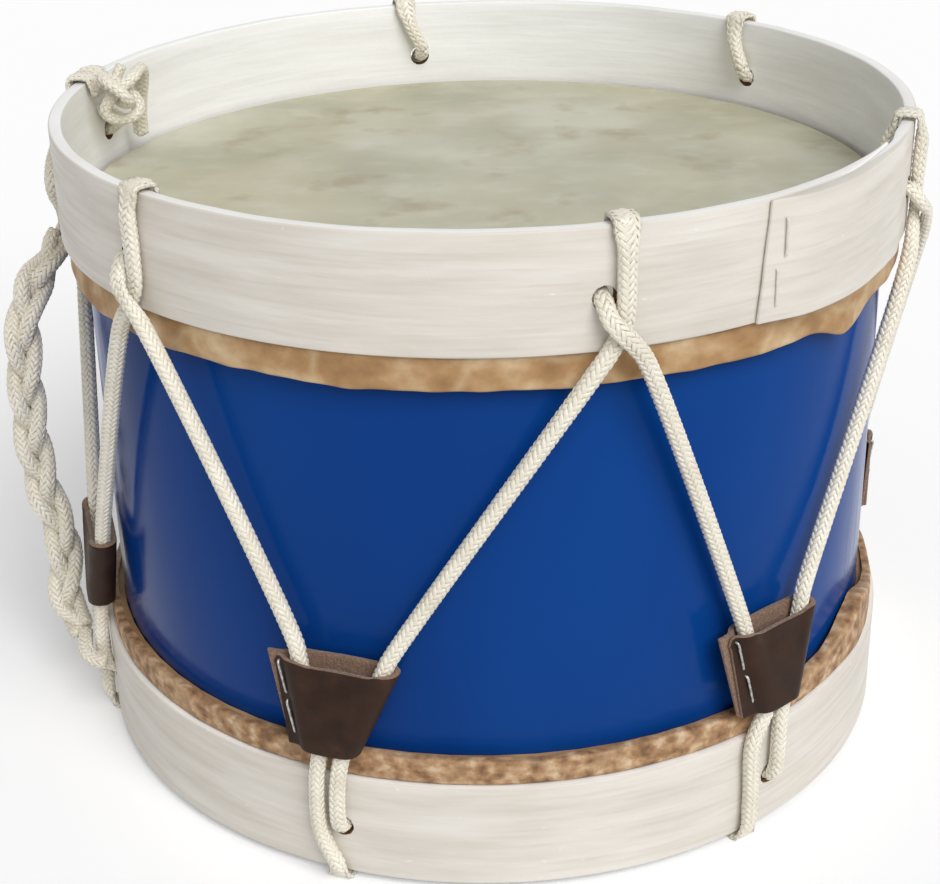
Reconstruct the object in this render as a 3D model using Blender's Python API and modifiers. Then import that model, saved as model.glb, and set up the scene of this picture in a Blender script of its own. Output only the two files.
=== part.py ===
"""Rope-laced bombo drum, standing on its cord: +Z up, origin on its axis at the floor.

A wooden shell has a skin over each end. Each skin is lapped round a flesh hoop, and
a counterhoop presses that hoop down the shell. One cord laces the two counterhoops
together through six holes in each, and a leather sleeve on each pair of cord legs
slides up to tighten it. A braided handle is tied to the lacing at one side.
"""

from math import atan2, ceil, cos, degrees, pi, radians, sin

import bmesh
import bpy
from mathutils import Matrix, Vector

# Shell, in metres
SHELL_RADIUS = 0.1378
SHELL_WALL = 0.0045
SHELL_SHOWING = 0.1265  # bare shell between the two lapped skins

# Heads
SKIN_THICKNESS = 0.0007
BEARING_EDGE_RADIUS = 0.0020
HEAD_RECESS = 0.0316  # from a counterhoop's free edge down to its head
TOP_RING_HEIGHT = 0.0110
BOTTOM_RING_HEIGHT = 0.0090
RING_CORNER = 0.0008
SKIN_TUCK = 0.0030  # how far the lapped skin reaches under its flesh hoop
FLESH_HOOP_WIDTH = 0.0041

# Counterhoops: one bent strip each, its ends lapped and skived
HOOP_PLAY = 0.0020  # between the skin on the shell and the strip round it
HOOP_THICKNESS = 0.0042
HOOP_HEIGHT = 0.0370
HOOP_EDGE_ROUND = 0.0007
LAP_LENGTH = 0.0700
SKIVE_LENGTH = 0.0450
SKIVED_END = 0.0012
OUTER_END_SKIVE = 0.0060
OUTER_END_THICKNESS = 0.0034
LAP_EASE = 0.0140
TOP_SEAM_AZIMUTH = 303.5  # degrees from +X; the drum's front is at 270
BOTTOM_SEAM_AZIMUTH = 82.0

# Lacing holes
HOLE_RADIUS = 0.0042
TOP_HOLE_DROP = 0.0210  # below the top rim
BOTTOM_HOLE_RISE = 0.0180  # above the bottom rim
TOP_HOLE_AZIMUTHS = (223.1, 283.2, 341.0, 42.4, 100.4, 164.8)  # both rows drilled by eye
BOTTOM_HOLE_AZIMUTHS = (250.2, 309.3, 14.0, 70.5, 128.5, 195.3)

# Cord
CORD_DIAMETER = 0.0056
RIM_SQUEEZE = 0.55  # the cord is pressed thinner where it bends over a rim
HOLE_SQUEEZE = 0.85
CROSSING_SQUEEZE = 0.78  # the two strands press each other flat where they cross
STANDING_CUT = CORD_DIAMETER / 10  # the drum stands on the cord, which is flat there
RIM_CLEARANCE = 0.0004  # between the cord and a rim
LACE_OFFSET = 0.0057  # along the hoop, from a top hole to the strand beside it
FOOT_OFFSET = 0.0066  # the same at a bottom hole
BIGHT_OFFSETS = (-0.0015, -0.0115, -0.0060, -0.0080, -0.0050, -0.0070)
CORD_TURN = radians(30)  # greatest bend from one ring of the tube to the next
CORD_STEP = 0.040  # longest stretch between rings
CORD_SAG = 0.00013  # how far a straight stretch may leave the smooth curve
CORD_RING_GAP = 0.00005  # least distance between rings on the inside of a bend

# Leather tighteners
LEATHER_THICKNESS = 0.0018
TIGHTENER_HEIGHT = 0.0312
TIGHTENER_RISE = 0.0025  # above the lapped skin of the bottom head
TIGHTENER_STANDOFF = 0.0041  # from the shell to the back ply, at the middle of the sleeve's foot
TIGHTENER_LEAN = 0.0024  # how much nearer the shell its top stands than its foot
LEGS_AT_FOOT = (-0.0059, 0.0031)  # left and right leg, across the sleeve
LEGS_AT_TOP = (  # the same for each bay, because no two are laced alike
    (-0.0118, 0.0170),
    (-0.0150, 0.0115),
    (-0.0138, 0.0160),
    (-0.0126, 0.0168),
    (-0.0144, 0.0152),
    (-0.0132, 0.0174),
)
EDGES_AT_FOOT = (-0.0155, -0.0175, -0.0170, -0.0165, -0.0172, -0.0175)  # the front ply's free edge
EDGE_PAST_LEG = 0.0079  # how far left of the left leg it stands at the top
FLAP = (0.0012, 0.0030)  # how far the back ply stands out beyond it
LEG_LEADS = (0.12, 0.06)  # the legs run straight this far above and below, in heights
FOLD_STEPS = 6

# Staples
STAPLE_CROWN = 0.0115
STAPLE_WIRE = 0.0009
STAPLE_BEND = 0.0007
STAPLE_HOLE = 0.0015
HOOP_STAPLES = ((0.0055, 0.0255), (0.0030, 0.0105))  # past the seam, above the edge
TIGHTENER_STAPLES = (0.765, 0.33)  # middles, as shares of the sleeve's height
STAPLE_SET_IN = 0.0010  # left of the left leg's pocket

# Handle
HANDLE_DIAMETER = 0.0136
HANDLE_ROUTE = (  # azimuth, out from the hoops, up from the bottom rim or down from the top rim
    (179.0, 0.0051, -0.0492),
    (180.2, 0.0070, -0.0530),
    (181.6, 0.0096, -0.0573),
    (183.0, 0.0127, -0.0616),
    (184.2, 0.0155, -0.0662),
    (185.2, 0.0180, -0.0735),
    (186.0, 0.0190, -0.0820),
    (186.0, 0.0199, -0.0926),
    (186.0, 0.0203, -0.1042),
    (186.0, 0.0205, 0.1010),
    (186.0, 0.0195, 0.0889),
    (186.2, 0.0182, 0.0786),
    (186.6, 0.0156, 0.0705),
    (187.0, 0.0139, 0.0588),
    (187.5, 0.0146, 0.0490),
    (188.0, 0.0153, 0.0402),
    (188.5, 0.0140, 0.0336),
    (189.4, 0.0122, 0.0306),
    (190.3, 0.0109, 0.0294),
    (191.2, 0.0100, 0.0288),
)
HANDLE_START_TAPER = (0.62, 0.80, 0.95)  # squeeze of its first stops
HANDLE_END_TAPER = (0.97, 0.88, 0.78, 0.71, 0.65)  # squeeze of its last stops
LOWER_HITCH_ROUTE = (
    (191.6, 0.0087, 0.0285),
    (192.8, 0.0092, 0.0281),
    (194.2, 0.0095, 0.0275),
    (195.5, 0.0096, 0.0268),
    (197.0, 0.0085, 0.0263),
    (198.1, 0.0060, 0.0259),
    (198.7, 0.0033, 0.0256),
)
LOWER_HITCH_TAPER = (0.90, 0.95)  # squeeze of its first stops
UPPER_HITCH_AZIMUTH = 170.4
UPPER_HITCH_ROUTE = (  # the same three numbers, down the outside of the top counterhoop
    (173.4, 0.0033, -0.0130),
    (177.8, 0.0033, -0.0186),
    (181.2, 0.0034, -0.0222),
    (182.6, 0.0035, -0.0268),
    (181.6, 0.0035, -0.0320),
    (179.2, 0.0035, -0.0372),
    (177.8, 0.0036, -0.0420),
)

# Knot inside the rim
KNOT_SIZE = 0.0031
KNOT_DEPTH = 1.6  # its thickness against its width
KNOT_SQUEEZE = 0.70
KNOT_AZIMUTH = 171.0
KNOT_SET_IN = 0.0124  # from the inside of the hoop to its middle
KNOT_DROP = 0.0034
KNOT_STEPS = 36
KNOT_OPENING = 0.42
LONG_TAIL = (  # across, up and inward from the knot's middle, in knot sizes, and squeeze
    (7.7, -6.7, -0.85, 1.0),
    (7.2, -5.3, -0.7, 1.0),
    (6.2, -3.0, -0.2, 1.0),
    (5.1, -0.6, 0.6, 0.95),
    (3.9, 1.4, 1.4, 0.85),
    (2.6, 2.3, 1.7, 0.76),
)
SHORT_TAIL = ((3.2, 1.2, -1.45, 0.74), (3.9, 2.1, -1.1, 0.78))
LACE_START = ((0.0095, 0.0105), (0.0050, 0.0142))  # past the last top hole, below the rim

CLEARANCE = 0.0003
ROUND_STEPS = 64

# Levels and radii that follow
CORD_RADIUS = CORD_DIAMETER / 2
SQUEEZED_RADIUS = CORD_RADIUS * RIM_SQUEEZE
RIM_OFFSET = SQUEEZED_RADIUS + RIM_CLEARANCE
BOTTOM_RIM_Z = RIM_OFFSET + SQUEEZED_RADIUS - STANDING_CUT
BOTTOM_HOOP_TOP_Z = BOTTOM_RIM_Z + HOOP_HEIGHT
SHELL_SHOWS_FROM_Z = BOTTOM_HOOP_TOP_Z + CLEARANCE + BOTTOM_RING_HEIGHT
SHELL_SHOWS_TO_Z = SHELL_SHOWS_FROM_Z + SHELL_SHOWING
TOP_HOOP_BOTTOM_Z = SHELL_SHOWS_TO_Z + TOP_RING_HEIGHT + CLEARANCE
TOP_RIM_Z = TOP_HOOP_BOTTOM_Z + HOOP_HEIGHT
TOP_HEAD_Z = TOP_RIM_Z - HEAD_RECESS
BOTTOM_HEAD_Z = BOTTOM_RIM_Z + HEAD_RECESS
TOP_HOLE_Z = TOP_RIM_Z - TOP_HOLE_DROP
BOTTOM_HOLE_Z = BOTTOM_RIM_Z + BOTTOM_HOLE_RISE
TIGHTENER_Z = SHELL_SHOWS_FROM_Z + TIGHTENER_RISE

FLESH_HOOP_INNER = SHELL_RADIUS + CLEARANCE
RING_RADIUS = FLESH_HOOP_INNER + FLESH_HOOP_WIDTH + CLEARANCE + SKIN_THICKNESS
SKIN_ON_SHELL = SHELL_RADIUS + CLEARANCE + SKIN_THICKNESS
HOOP_INNER = SKIN_ON_SHELL + HOOP_PLAY
HOOP_OUTER = HOOP_INNER + HOOP_THICKNESS
STRAND_OUTSIDE = HOOP_OUTER + CLEARANCE + CORD_RADIUS
STRAND_INSIDE = HOOP_INNER - 2 * CLEARANCE - CORD_RADIUS
STRAND_UNDER = HOOP_OUTER + CLEARANCE + CORD_RADIUS * CROSSING_SQUEEZE
STRAND_OVER = STRAND_UNDER + CORD_DIAMETER * CROSSING_SQUEEZE + 2.5 * CLEARANCE
TIGHTENER_RADIUS = SHELL_RADIUS + TIGHTENER_STANDOFF + LEATHER_THICKNESS + CLEARANCE + CORD_RADIUS
BAYS = len(TOP_HOLE_AZIMUTHS)


def material(name, colour, roughness, metallic=0.0):
    made = bpy.data.materials.new(name)
    made.use_nodes = True
    shader = made.node_tree.nodes["Principled BSDF"]
    shader.inputs["Base Color"].default_value = (*colour, 1.0)
    shader.inputs["Roughness"].default_value = roughness
    shader.inputs["Metallic"].default_value = metallic
    made.diffuse_color = (*colour, 1.0)
    return made


def put(name, data, collection, finish=None):
    """Makes an object of a mesh or curve, in one collection, with one material."""
    made = bpy.data.objects.new(name, data)
    collection.objects.link(made)
    if finish:
        data.materials.append(finish)
    return made


def smooth(mesh, angle=35):
    mesh.shade_smooth()
    mesh.set_sharp_from_angle(angle=radians(angle))


def at(azimuth, radius, height):
    """The point at an azimuth in degrees, a radius and a height."""
    return Vector((radius * cos(radians(azimuth)), radius * sin(radians(azimuth)), height))


def turn(arc, radius=None):
    """The degrees that an arc takes up, on the strands outside the hoop by default."""
    return degrees(arc / (radius or STRAND_OUTSIDE))


def baked(source, collection):
    """The evaluated mesh of a curve as an object of its own, with its caps welded."""
    bpy.context.view_layer.update()
    depsgraph = bpy.context.evaluated_depsgraph_get()
    mesh = bpy.data.meshes.new_from_object(source.evaluated_get(depsgraph))
    work = bmesh.new()
    work.from_mesh(mesh)
    bmesh.ops.remove_doubles(work, verts=work.verts, dist=1e-6)
    work.to_mesh(mesh)
    work.free()
    name = source.name
    made = bpy.data.objects.new(name, mesh)
    made.matrix_world = source.matrix_world
    bpy.data.objects.remove(source)
    made.name = name
    collection.objects.link(made)
    smooth(mesh, 50)
    return made


# Turned pieces


def turned(name, outline, collection, finish, open_ended=False):
    """Spins a half section of (radius, height) points round the drum's axis."""
    loop = list(zip(outline, outline[1:] + outline[:1]))
    area = sum(a[0] * b[1] - b[0] * a[1] for a, b in loop)
    points = outline[::-1] if area > 0 else outline
    work = bmesh.new()
    corners = [work.verts.new((radius, 0, height)) for radius, height in points]
    for first, second in zip(corners, corners[1:]):
        work.edges.new((first, second))
    if not open_ended:
        work.edges.new((corners[-1], corners[0]))
    mesh = bpy.data.meshes.new(name)
    work.to_mesh(mesh)
    work.free()
    made = put(name, mesh, collection, finish)
    screw = made.modifiers.new("turn", "SCREW")
    screw.steps = ROUND_STEPS
    screw.render_steps = ROUND_STEPS
    screw.use_merge_vertices = True
    screw.merge_threshold = 0.00001
    screw.use_smooth_shade = True
    return made


def shell_outline():
    top = TOP_HEAD_Z - SKIN_THICKNESS - CLEARANCE
    foot = BOTTOM_HEAD_Z + SKIN_THICKNESS + CLEARANCE
    inner = SHELL_RADIUS - SHELL_WALL
    edge = BEARING_EDGE_RADIUS * 0.6
    return [
        (SHELL_RADIUS, top - edge),
        (SHELL_RADIUS, foot + edge),
        (SHELL_RADIUS - edge, foot),
        (inner, foot),
        (inner, top),
        (SHELL_RADIUS - edge, top),
    ]


def head_outline(face_z, direction, ring_height):
    """A head's half section: out over the skin, round the flesh hoop, and back under it.

    direction is 1 for the top head and -1 for the bottom head, whose depths go up.
    """
    fold = HOOP_HEIGHT - HEAD_RECESS + CLEARANCE
    under = fold + ring_height
    tuck = RING_RADIUS - SKIN_TUCK
    skin = SKIN_THICKNESS
    outside = [
        (0.0, 0.0),
        (SKIN_ON_SHELL - BEARING_EDGE_RADIUS, 0.0),
        (SKIN_ON_SHELL, BEARING_EDGE_RADIUS),
        (SKIN_ON_SHELL, fold),
        (RING_RADIUS - RING_CORNER, fold),
        (RING_RADIUS, fold + RING_CORNER),
        (RING_RADIUS, under - RING_CORNER),
        (RING_RADIUS - RING_CORNER, under),
        (tuck, under),
    ]
    inside = [
        (tuck, under - skin),
        (RING_RADIUS - skin, under - skin),
        (RING_RADIUS - skin, fold + skin),
        (SHELL_RADIUS + CLEARANCE, fold + skin),
        (SHELL_RADIUS + CLEARANCE, BEARING_EDGE_RADIUS),
        (SKIN_ON_SHELL - BEARING_EDGE_RADIUS, skin),
        (0.0, skin),
    ]
    return [(radius, face_z - direction * depth) for radius, depth in outside + inside]


def flesh_hoop_outline(face_z, direction, ring_height):
    fold = HOOP_HEIGHT - HEAD_RECESS + CLEARANCE + SKIN_THICKNESS + CLEARANCE
    under = fold + ring_height - 2 * (SKIN_THICKNESS + CLEARANCE)
    outer = FLESH_HOOP_INNER + FLESH_HOOP_WIDTH
    points = [
        (FLESH_HOOP_INNER, fold),
        (outer, fold),
        (outer, under),
        (FLESH_HOOP_INNER, under),
    ]
    return [(radius, face_z - direction * depth) for radius, depth in points]


# Counterhoops


def share(value, start, end):
    """0 before start, 1 after end, and a smooth step between."""
    part = min(1.0, max(0.0, (value - start) / (end - start)))
    return part * part * (3 - 2 * part)


def strip_thickness(travelled):
    """The strip's thickness at a distance from its inner end."""
    length = 2 * pi * HOOP_INNER + LAP_LENGTH
    inner_end = SKIVED_END + (HOOP_THICKNESS - SKIVED_END) * share(travelled, 0, SKIVE_LENGTH)
    loss = (HOOP_THICKNESS - OUTER_END_THICKNESS) * share(travelled, length - OUTER_END_SKIVE, length)
    return inner_end - loss


def strip_lift(travelled):
    """How far the strip's inner face stands out from the hoop's own inner radius."""
    once_round = 2 * pi * HOOP_INNER
    if travelled < once_round:
        return (SKIVED_END + CLEARANCE) * share(travelled, once_round - LAP_EASE, once_round)
    return strip_thickness(travelled - once_round) + CLEARANCE


def hoop_face(azimuth, seam):
    """The outermost radius of a counterhoop at an azimuth."""
    once_round = 2 * pi * HOOP_INNER
    back = radians((seam - azimuth) % 360) * HOOP_INNER
    travelled = LAP_LENGTH + back
    if travelled > once_round:
        travelled -= once_round
    behind = travelled + once_round if travelled <= LAP_LENGTH else travelled
    return HOOP_INNER + strip_lift(behind) + strip_thickness(behind)


def counterhoop(name, foot_z, seam, collection, finish):
    """A ribbon along the strip's inner face, thickened outwards and rounded at its edges."""
    length = 2 * pi * HOOP_INNER + LAP_LENGTH
    steps = ceil(ROUND_STEPS * length / (2 * pi * HOOP_INNER))
    start = seam + degrees(LAP_LENGTH / HOOP_INNER)
    work = bmesh.new()
    weights = []
    line = []
    for step in range(steps + 1):
        travelled = length * step / steps
        radius = HOOP_INNER + strip_lift(travelled)
        azimuth = start - degrees(travelled / HOOP_INNER)
        line.append(work.verts.new(at(azimuth, radius, foot_z)))
        weights.append(strip_thickness(travelled) / HOOP_THICKNESS)
    edges = [work.edges.new(pair) for pair in zip(line, line[1:])]
    raised = bmesh.ops.extrude_edge_only(work, edges=edges)["geom"]
    upper = [item for item in raised if isinstance(item, bmesh.types.BMVert)]
    bmesh.ops.translate(work, verts=upper, vec=(0, 0, HOOP_HEIGHT))
    bmesh.ops.recalc_face_normals(work, faces=work.faces)
    if work.faces[0].normal.dot(Vector((*work.faces[0].calc_center_median().xy, 0))) < 0:
        bmesh.ops.reverse_faces(work, faces=work.faces)
    mesh = bpy.data.meshes.new(name)
    work.verts.index_update()
    work.to_mesh(mesh)
    order = [vert.co.copy() for vert in line]
    work.free()
    made = put(name, mesh, collection, finish)
    thickness = made.vertex_groups.new(name="thickness")
    for vert in mesh.vertices:
        nearest = min(range(len(order)), key=lambda i: (order[i].xy - vert.co.xy).length)
        thickness.add([vert.index], weights[nearest], "REPLACE")
    wall = made.modifiers.new("strip", "SOLIDIFY")
    wall.thickness = HOOP_THICKNESS
    wall.offset = 1.0
    wall.vertex_group = "thickness"
    wall.thickness_vertex_group = 0.0
    rounded = made.modifiers.new("worn edges", "BEVEL")
    rounded.width = HOOP_EDGE_ROUND
    rounded.segments = 1
    rounded.limit_method = "ANGLE"
    rounded.angle_limit = radians(50)
    return made


def rod_between(work, start, end, radius, sides):
    """Adds a closed cylinder from one point to another to a bmesh."""
    along = end - start
    place = Matrix.Translation((start + end) / 2) @ along.to_track_quat("Z", "Y").to_matrix().to_4x4()
    bmesh.ops.create_cone(
        work,
        cap_ends=True,
        segments=sides,
        radius1=radius,
        radius2=radius,
        depth=along.length,
        matrix=place,
    )


def drill(target, rods, sides, radius, cutters, name):
    """Bores straight holes, each given by its two ends, through an object."""
    work = bmesh.new()
    for start, end in rods:
        rod_between(work, start, end, radius, sides)
    mesh = bpy.data.meshes.new(name)
    work.to_mesh(mesh)
    work.free()
    cutter = put(name, mesh, cutters)
    cutter.hide_render = True
    cutter.display_type = "WIRE"
    cut = target.modifiers.new(name, "BOOLEAN")
    cut.operation = "DIFFERENCE"
    cut.object = cutter
    return cutter


def radial_rod(azimuth, height):
    """The two ends of a hole bored straight through a counterhoop and its lap."""
    reach = 4 * HOOP_THICKNESS
    return at(azimuth, HOOP_INNER - reach, height), at(azimuth, HOOP_OUTER + reach, height)


# Cord


def bends(rings):
    """How far the cord turns at each of its rings, 0 at its two ends."""
    ways = [(after - before).normalized() for (before, _), (after, _) in zip(rings, rings[1:])]
    return [0.0, *(into.angle(out) for into, out in zip(ways, ways[1:])), 0.0]


def uncrossed(rings, radius):
    """Leaves out the rings that would cross their neighbour on the inside of a bend."""
    kept = list(rings)
    index = 0
    while index < len(kept) - 1:
        turns = bends(kept)
        needed = CORD_RING_GAP
        for at_ring in (index, index + 1):
            needed += radius * kept[at_ring][1] * sin(turns[at_ring] / 2)
        if (kept[index + 1][0] - kept[index][0]).length < needed and len(kept) > 3:
            inner = [ring for ring in (index, index + 1) if 0 < ring < len(kept) - 1]
            kept.pop(min(inner, key=lambda ring: turns[ring]))
            index = max(index - 2, 0)
        else:
            index += 1
    return kept


def curve_through(route, radius=CORD_RADIUS):
    """A smooth curve through (point, squeeze) stops, thinned to the rings that its bends need."""
    stops = [(Vector(point), squeeze) for point, squeeze in route]
    knots = [0.0]
    for (first, _), (second, _) in zip(stops, stops[1:]):
        knots.append(knots[-1] + (second - first).length ** 0.5)
    slopes = []
    for index in range(len(stops)):
        before, after = max(index - 1, 0), min(index + 1, len(stops) - 1)
        if 0 < index < len(stops) - 1:
            left = (stops[index][0] - stops[before][0]) / (knots[index] - knots[before])
            right = (stops[after][0] - stops[index][0]) / (knots[after] - knots[index])
            across = (stops[after][0] - stops[before][0]) / (knots[after] - knots[before])
            slopes.append(left + right - across)
        else:
            slopes.append((stops[after][0] - stops[before][0]) / (knots[after] - knots[before]))
    dense = []
    for index in range(len(stops) - 1):
        span = knots[index + 1] - knots[index]
        (a, thin_a), (b, thin_b) = stops[index], stops[index + 1]
        pieces = 24
        for step in range(pieces):
            t = step / pieces
            place = (
                (2 * t**3 - 3 * t**2 + 1) * a
                + (t**3 - 2 * t**2 + t) * span * slopes[index]
                + (3 * t**2 - 2 * t**3) * b
                + (t**3 - t**2) * span * slopes[index + 1]
            )
            dense.append((place, thin_a + (thin_b - thin_a) * share(t, 0, 1)))
    dense.append(stops[-1])
    kept = [dense[0]]
    last = 0
    bend = 0.0
    for index in range(1, len(dense) - 1):
        into = dense[index][0] - dense[index - 1][0]
        out = dense[index + 1][0] - dense[index][0]
        bend += into.angle(out)
        chord = dense[index + 1][0] - dense[last][0]
        far = chord.length > CORD_STEP
        off = max(
            chord.cross(place - dense[last][0]).length / chord.length
            for place, _ in dense[last : index + 1]
        )
        if bend > CORD_TURN or far or off > CORD_SAG:
            kept.append(dense[index])
            last = index
            bend = 0.0
    if (dense[-1][0] - kept[-1][0]).length < CORD_RADIUS / 2 and len(kept) > 1:
        kept.pop()
    kept.append(dense[-1])
    return uncrossed(kept, radius)


def tube(name, rings, radius, collection, finish, resolution=2):
    """A cord along its rings: a curve with a round bevel and filled caps."""
    data = bpy.data.curves.new(name, "CURVE")
    data.dimensions = "3D"
    data.bevel_depth = radius
    data.bevel_resolution = resolution
    data.use_fill_caps = True
    spline = data.splines.new("POLY")
    spline.points.add(len(rings) - 1)
    for point, (place, squeeze) in zip(spline.points, rings):
        point.co = (*place, 1.0)
        point.radius = squeeze
    spline.use_smooth = True
    return put(name, data, collection, finish)


def over_top_rim(azimuth, seam_face):
    """Stops over the top rim from outside to inside, the cord squeezed against the wood."""
    diagonal = RIM_OFFSET * 0.7071
    return [
        (at(azimuth, seam_face + CLEARANCE + CORD_RADIUS * 0.9, TOP_RIM_Z - 0.0050), 0.9),
        (at(azimuth, seam_face + RIM_OFFSET, TOP_RIM_Z - 0.0004), RIM_SQUEEZE),
        (at(azimuth, seam_face + diagonal, TOP_RIM_Z + diagonal), RIM_SQUEEZE),
        (at(azimuth, seam_face - 0.0002, TOP_RIM_Z + RIM_OFFSET), RIM_SQUEEZE),
        (at(azimuth, HOOP_INNER + 0.0002, TOP_RIM_Z + RIM_OFFSET), RIM_SQUEEZE),
        (at(azimuth, HOOP_INNER - diagonal, TOP_RIM_Z + diagonal), RIM_SQUEEZE),
        (at(azimuth, HOOP_INNER - RIM_OFFSET, TOP_RIM_Z - 0.0004), RIM_SQUEEZE),
    ]


def out_of_top_hole(azimuth):
    """Stops from inside a top hole, out, and over the strand that runs up beside it."""
    pulled = azimuth - turn(0.0007)
    return [
        (at(pulled, STRAND_INSIDE - 0.0003, TOP_HOLE_Z + 0.0042), 1.0),
        (at(pulled, HOOP_INNER - 0.0012, TOP_HOLE_Z + 0.0008), HOLE_SQUEEZE),
        (at(pulled, HOOP_INNER + HOOP_THICKNESS / 2, TOP_HOLE_Z), HOLE_SQUEEZE),
        (at(pulled, HOOP_OUTER + 0.0014, TOP_HOLE_Z - 0.0004), HOLE_SQUEEZE),
        (at(azimuth - turn(0.0004), HOOP_OUTER + 0.0038, TOP_HOLE_Z - 0.0022), 0.83),
        (at(azimuth + turn(0.0006), HOOP_OUTER + 0.0056, TOP_HOLE_Z - 0.0048), 0.80),
        (at(azimuth + turn(0.0024), STRAND_OVER - 0.0003, TOP_HOLE_Z - 0.0074), CROSSING_SQUEEZE),
        (at(azimuth + turn(0.0047), STRAND_OVER, TOP_HOLE_Z - 0.0099), CROSSING_SQUEEZE),
        (at(azimuth + turn(0.0075), STRAND_OVER - 0.0006, TOP_HOLE_Z - 0.0132), 0.86),
        (at(azimuth + turn(0.0110), STRAND_OUTSIDE + 0.0018, TOP_HOLE_Z - 0.0185), 1.0),
    ]


def up_to_top_hole(azimuth):
    """Stops up the outside of the top counterhoop, to the strand beside a hole."""
    beside = azimuth + turn(LACE_OFFSET)
    return [
        (at(azimuth - turn(0.0042), STRAND_OUTSIDE - 0.0004, TOP_HOLE_Z - 0.0225), 1.0),
        (at(azimuth + turn(0.0012), STRAND_UNDER + 0.0004, TOP_HOLE_Z - 0.0150), 0.88),
        (at(azimuth + turn(0.0050), STRAND_UNDER, TOP_HOLE_Z - 0.0080), CROSSING_SQUEEZE),
        (at(beside, STRAND_UNDER + 0.0002, TOP_HOLE_Z), 0.84),
        (at(beside, STRAND_UNDER + 0.0003, TOP_HOLE_Z + 0.0090), 0.88),
    ]


def sleeve_lean(height):
    """How far the sleeve leans towards the shell at a height above its foot."""
    return TIGHTENER_LEAN * height / TIGHTENER_HEIGHT


def in_sleeve(bay, across, height):
    """A point on a sleeve's middle plane: across it, and above its foot."""
    azimuth = BOTTOM_HOLE_AZIMUTHS[bay]
    sideways = Vector((-sin(radians(azimuth)), cos(radians(azimuth)), 0))
    radius = TIGHTENER_RADIUS - sleeve_lean(height)
    return at(azimuth, radius, TIGHTENER_Z + height) + sideways * across


def leg_across(bay, side, level):
    """Where a cord leg runs across its sleeve, from level 0 at the foot to 1 at the top."""
    foot, top = LEGS_AT_FOOT[side], LEGS_AT_TOP[bay][side]
    return foot + (top - foot) * level


def leg_at(bay, side, level):
    """A point on a cord leg in its sleeve."""
    return in_sleeve(bay, leg_across(bay, side, level), TIGHTENER_HEIGHT * level)


def down_through_sleeve(bay):
    above, below = LEG_LEADS
    return [(leg_at(bay, 0, level), 1.0) for level in (1.0 + above, 1.0, 0.0, -below)]


def up_through_sleeve(bay):
    above, below = LEG_LEADS
    return [(leg_at(bay, 1, level), 1.0) for level in (-below, 0.0, 1.0, 1.0 + above)]


def under_bottom_rim(bay):
    """Stops down the bottom counterhoop, under its rim, and out through its hole."""
    hole = BOTTOM_HOLE_AZIMUTHS[bay]
    beside = hole + turn(min(BIGHT_OFFSETS[bay], -FOOT_OFFSET))
    bight = hole + turn(BIGHT_OFFSETS[bay])
    diagonal = RIM_OFFSET * 0.7071
    return [
        (at(beside, STRAND_OUTSIDE, BOTTOM_HOOP_TOP_Z), 1.0),
        (at(beside, STRAND_OUTSIDE, BOTTOM_HOLE_Z), 1.0),
        (at((beside + bight) / 2, STRAND_OUTSIDE, BOTTOM_RIM_Z + 0.0100), 1.0),
        (at(bight, HOOP_OUTER + 2 * CLEARANCE + CORD_RADIUS * 0.9, BOTTOM_RIM_Z + 0.0050), 0.9),
        (at(bight, HOOP_OUTER + RIM_OFFSET, BOTTOM_RIM_Z + 0.0004), RIM_SQUEEZE),
        (at(bight, HOOP_OUTER + diagonal, BOTTOM_RIM_Z - diagonal), RIM_SQUEEZE),
        (at(bight, HOOP_OUTER - 0.0002, BOTTOM_RIM_Z - RIM_OFFSET), RIM_SQUEEZE),
        (at(bight, HOOP_INNER + 0.0002, BOTTOM_RIM_Z - RIM_OFFSET), RIM_SQUEEZE),
        (at(bight, HOOP_INNER - diagonal, BOTTOM_RIM_Z - diagonal), RIM_SQUEEZE),
        (at(bight, HOOP_INNER - RIM_OFFSET, BOTTOM_RIM_Z + 0.0004), RIM_SQUEEZE),
        (at((bight + hole) / 2, STRAND_INSIDE, BOTTOM_RIM_Z + 0.0070), 1.0),
        (at(hole, STRAND_INSIDE - 0.0003, BOTTOM_HOLE_Z - 0.0042), 1.0),
        (at(hole, HOOP_INNER - 0.0012, BOTTOM_HOLE_Z - 0.0008), HOLE_SQUEEZE),
        (at(hole, HOOP_INNER + HOOP_THICKNESS / 2, BOTTOM_HOLE_Z), HOLE_SQUEEZE),
        (at(hole, HOOP_OUTER + 0.0012, BOTTOM_HOLE_Z + 0.0007), HOLE_SQUEEZE),
        (at(hole, STRAND_OUTSIDE, BOTTOM_HOLE_Z + 0.0048), 1.0),
        (at(hole + turn(0.0006), STRAND_OUTSIDE, BOTTOM_HOOP_TOP_Z), 1.0),
    ]


def knot_frame():
    """Centre, sideways, up and inward axes of the knot inside the top rim."""
    centre = at(KNOT_AZIMUTH, HOOP_INNER - KNOT_SET_IN, TOP_RIM_Z - KNOT_DROP)
    inward = -Vector((cos(radians(KNOT_AZIMUTH)), sin(radians(KNOT_AZIMUTH)), 0))
    sideways = Vector((0, 0, 1)).cross(inward)
    return centre, sideways, Vector((0, 0, 1)), inward


def knot_route():
    """An overhand knot, open at one lobe, with a long tail and a short one."""
    centre, sideways, up, inward = knot_frame()
    start = pi / 3
    stops = list(LONG_TAIL)
    for step in range(KNOT_STEPS + 1):
        t = start + KNOT_OPENING + (2 * pi - 2 * KNOT_OPENING) * step / KNOT_STEPS
        across = sin(t) + 2 * sin(2 * t)
        rise = cos(t) - 2 * cos(2 * t)
        stops.append((across, rise, -KNOT_DEPTH * sin(3 * t), KNOT_SQUEEZE))
    stops += SHORT_TAIL
    return [
        (centre + KNOT_SIZE * (across * sideways + rise * up + depth * inward), squeeze)
        for across, rise, depth, squeeze in stops
    ]


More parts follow.
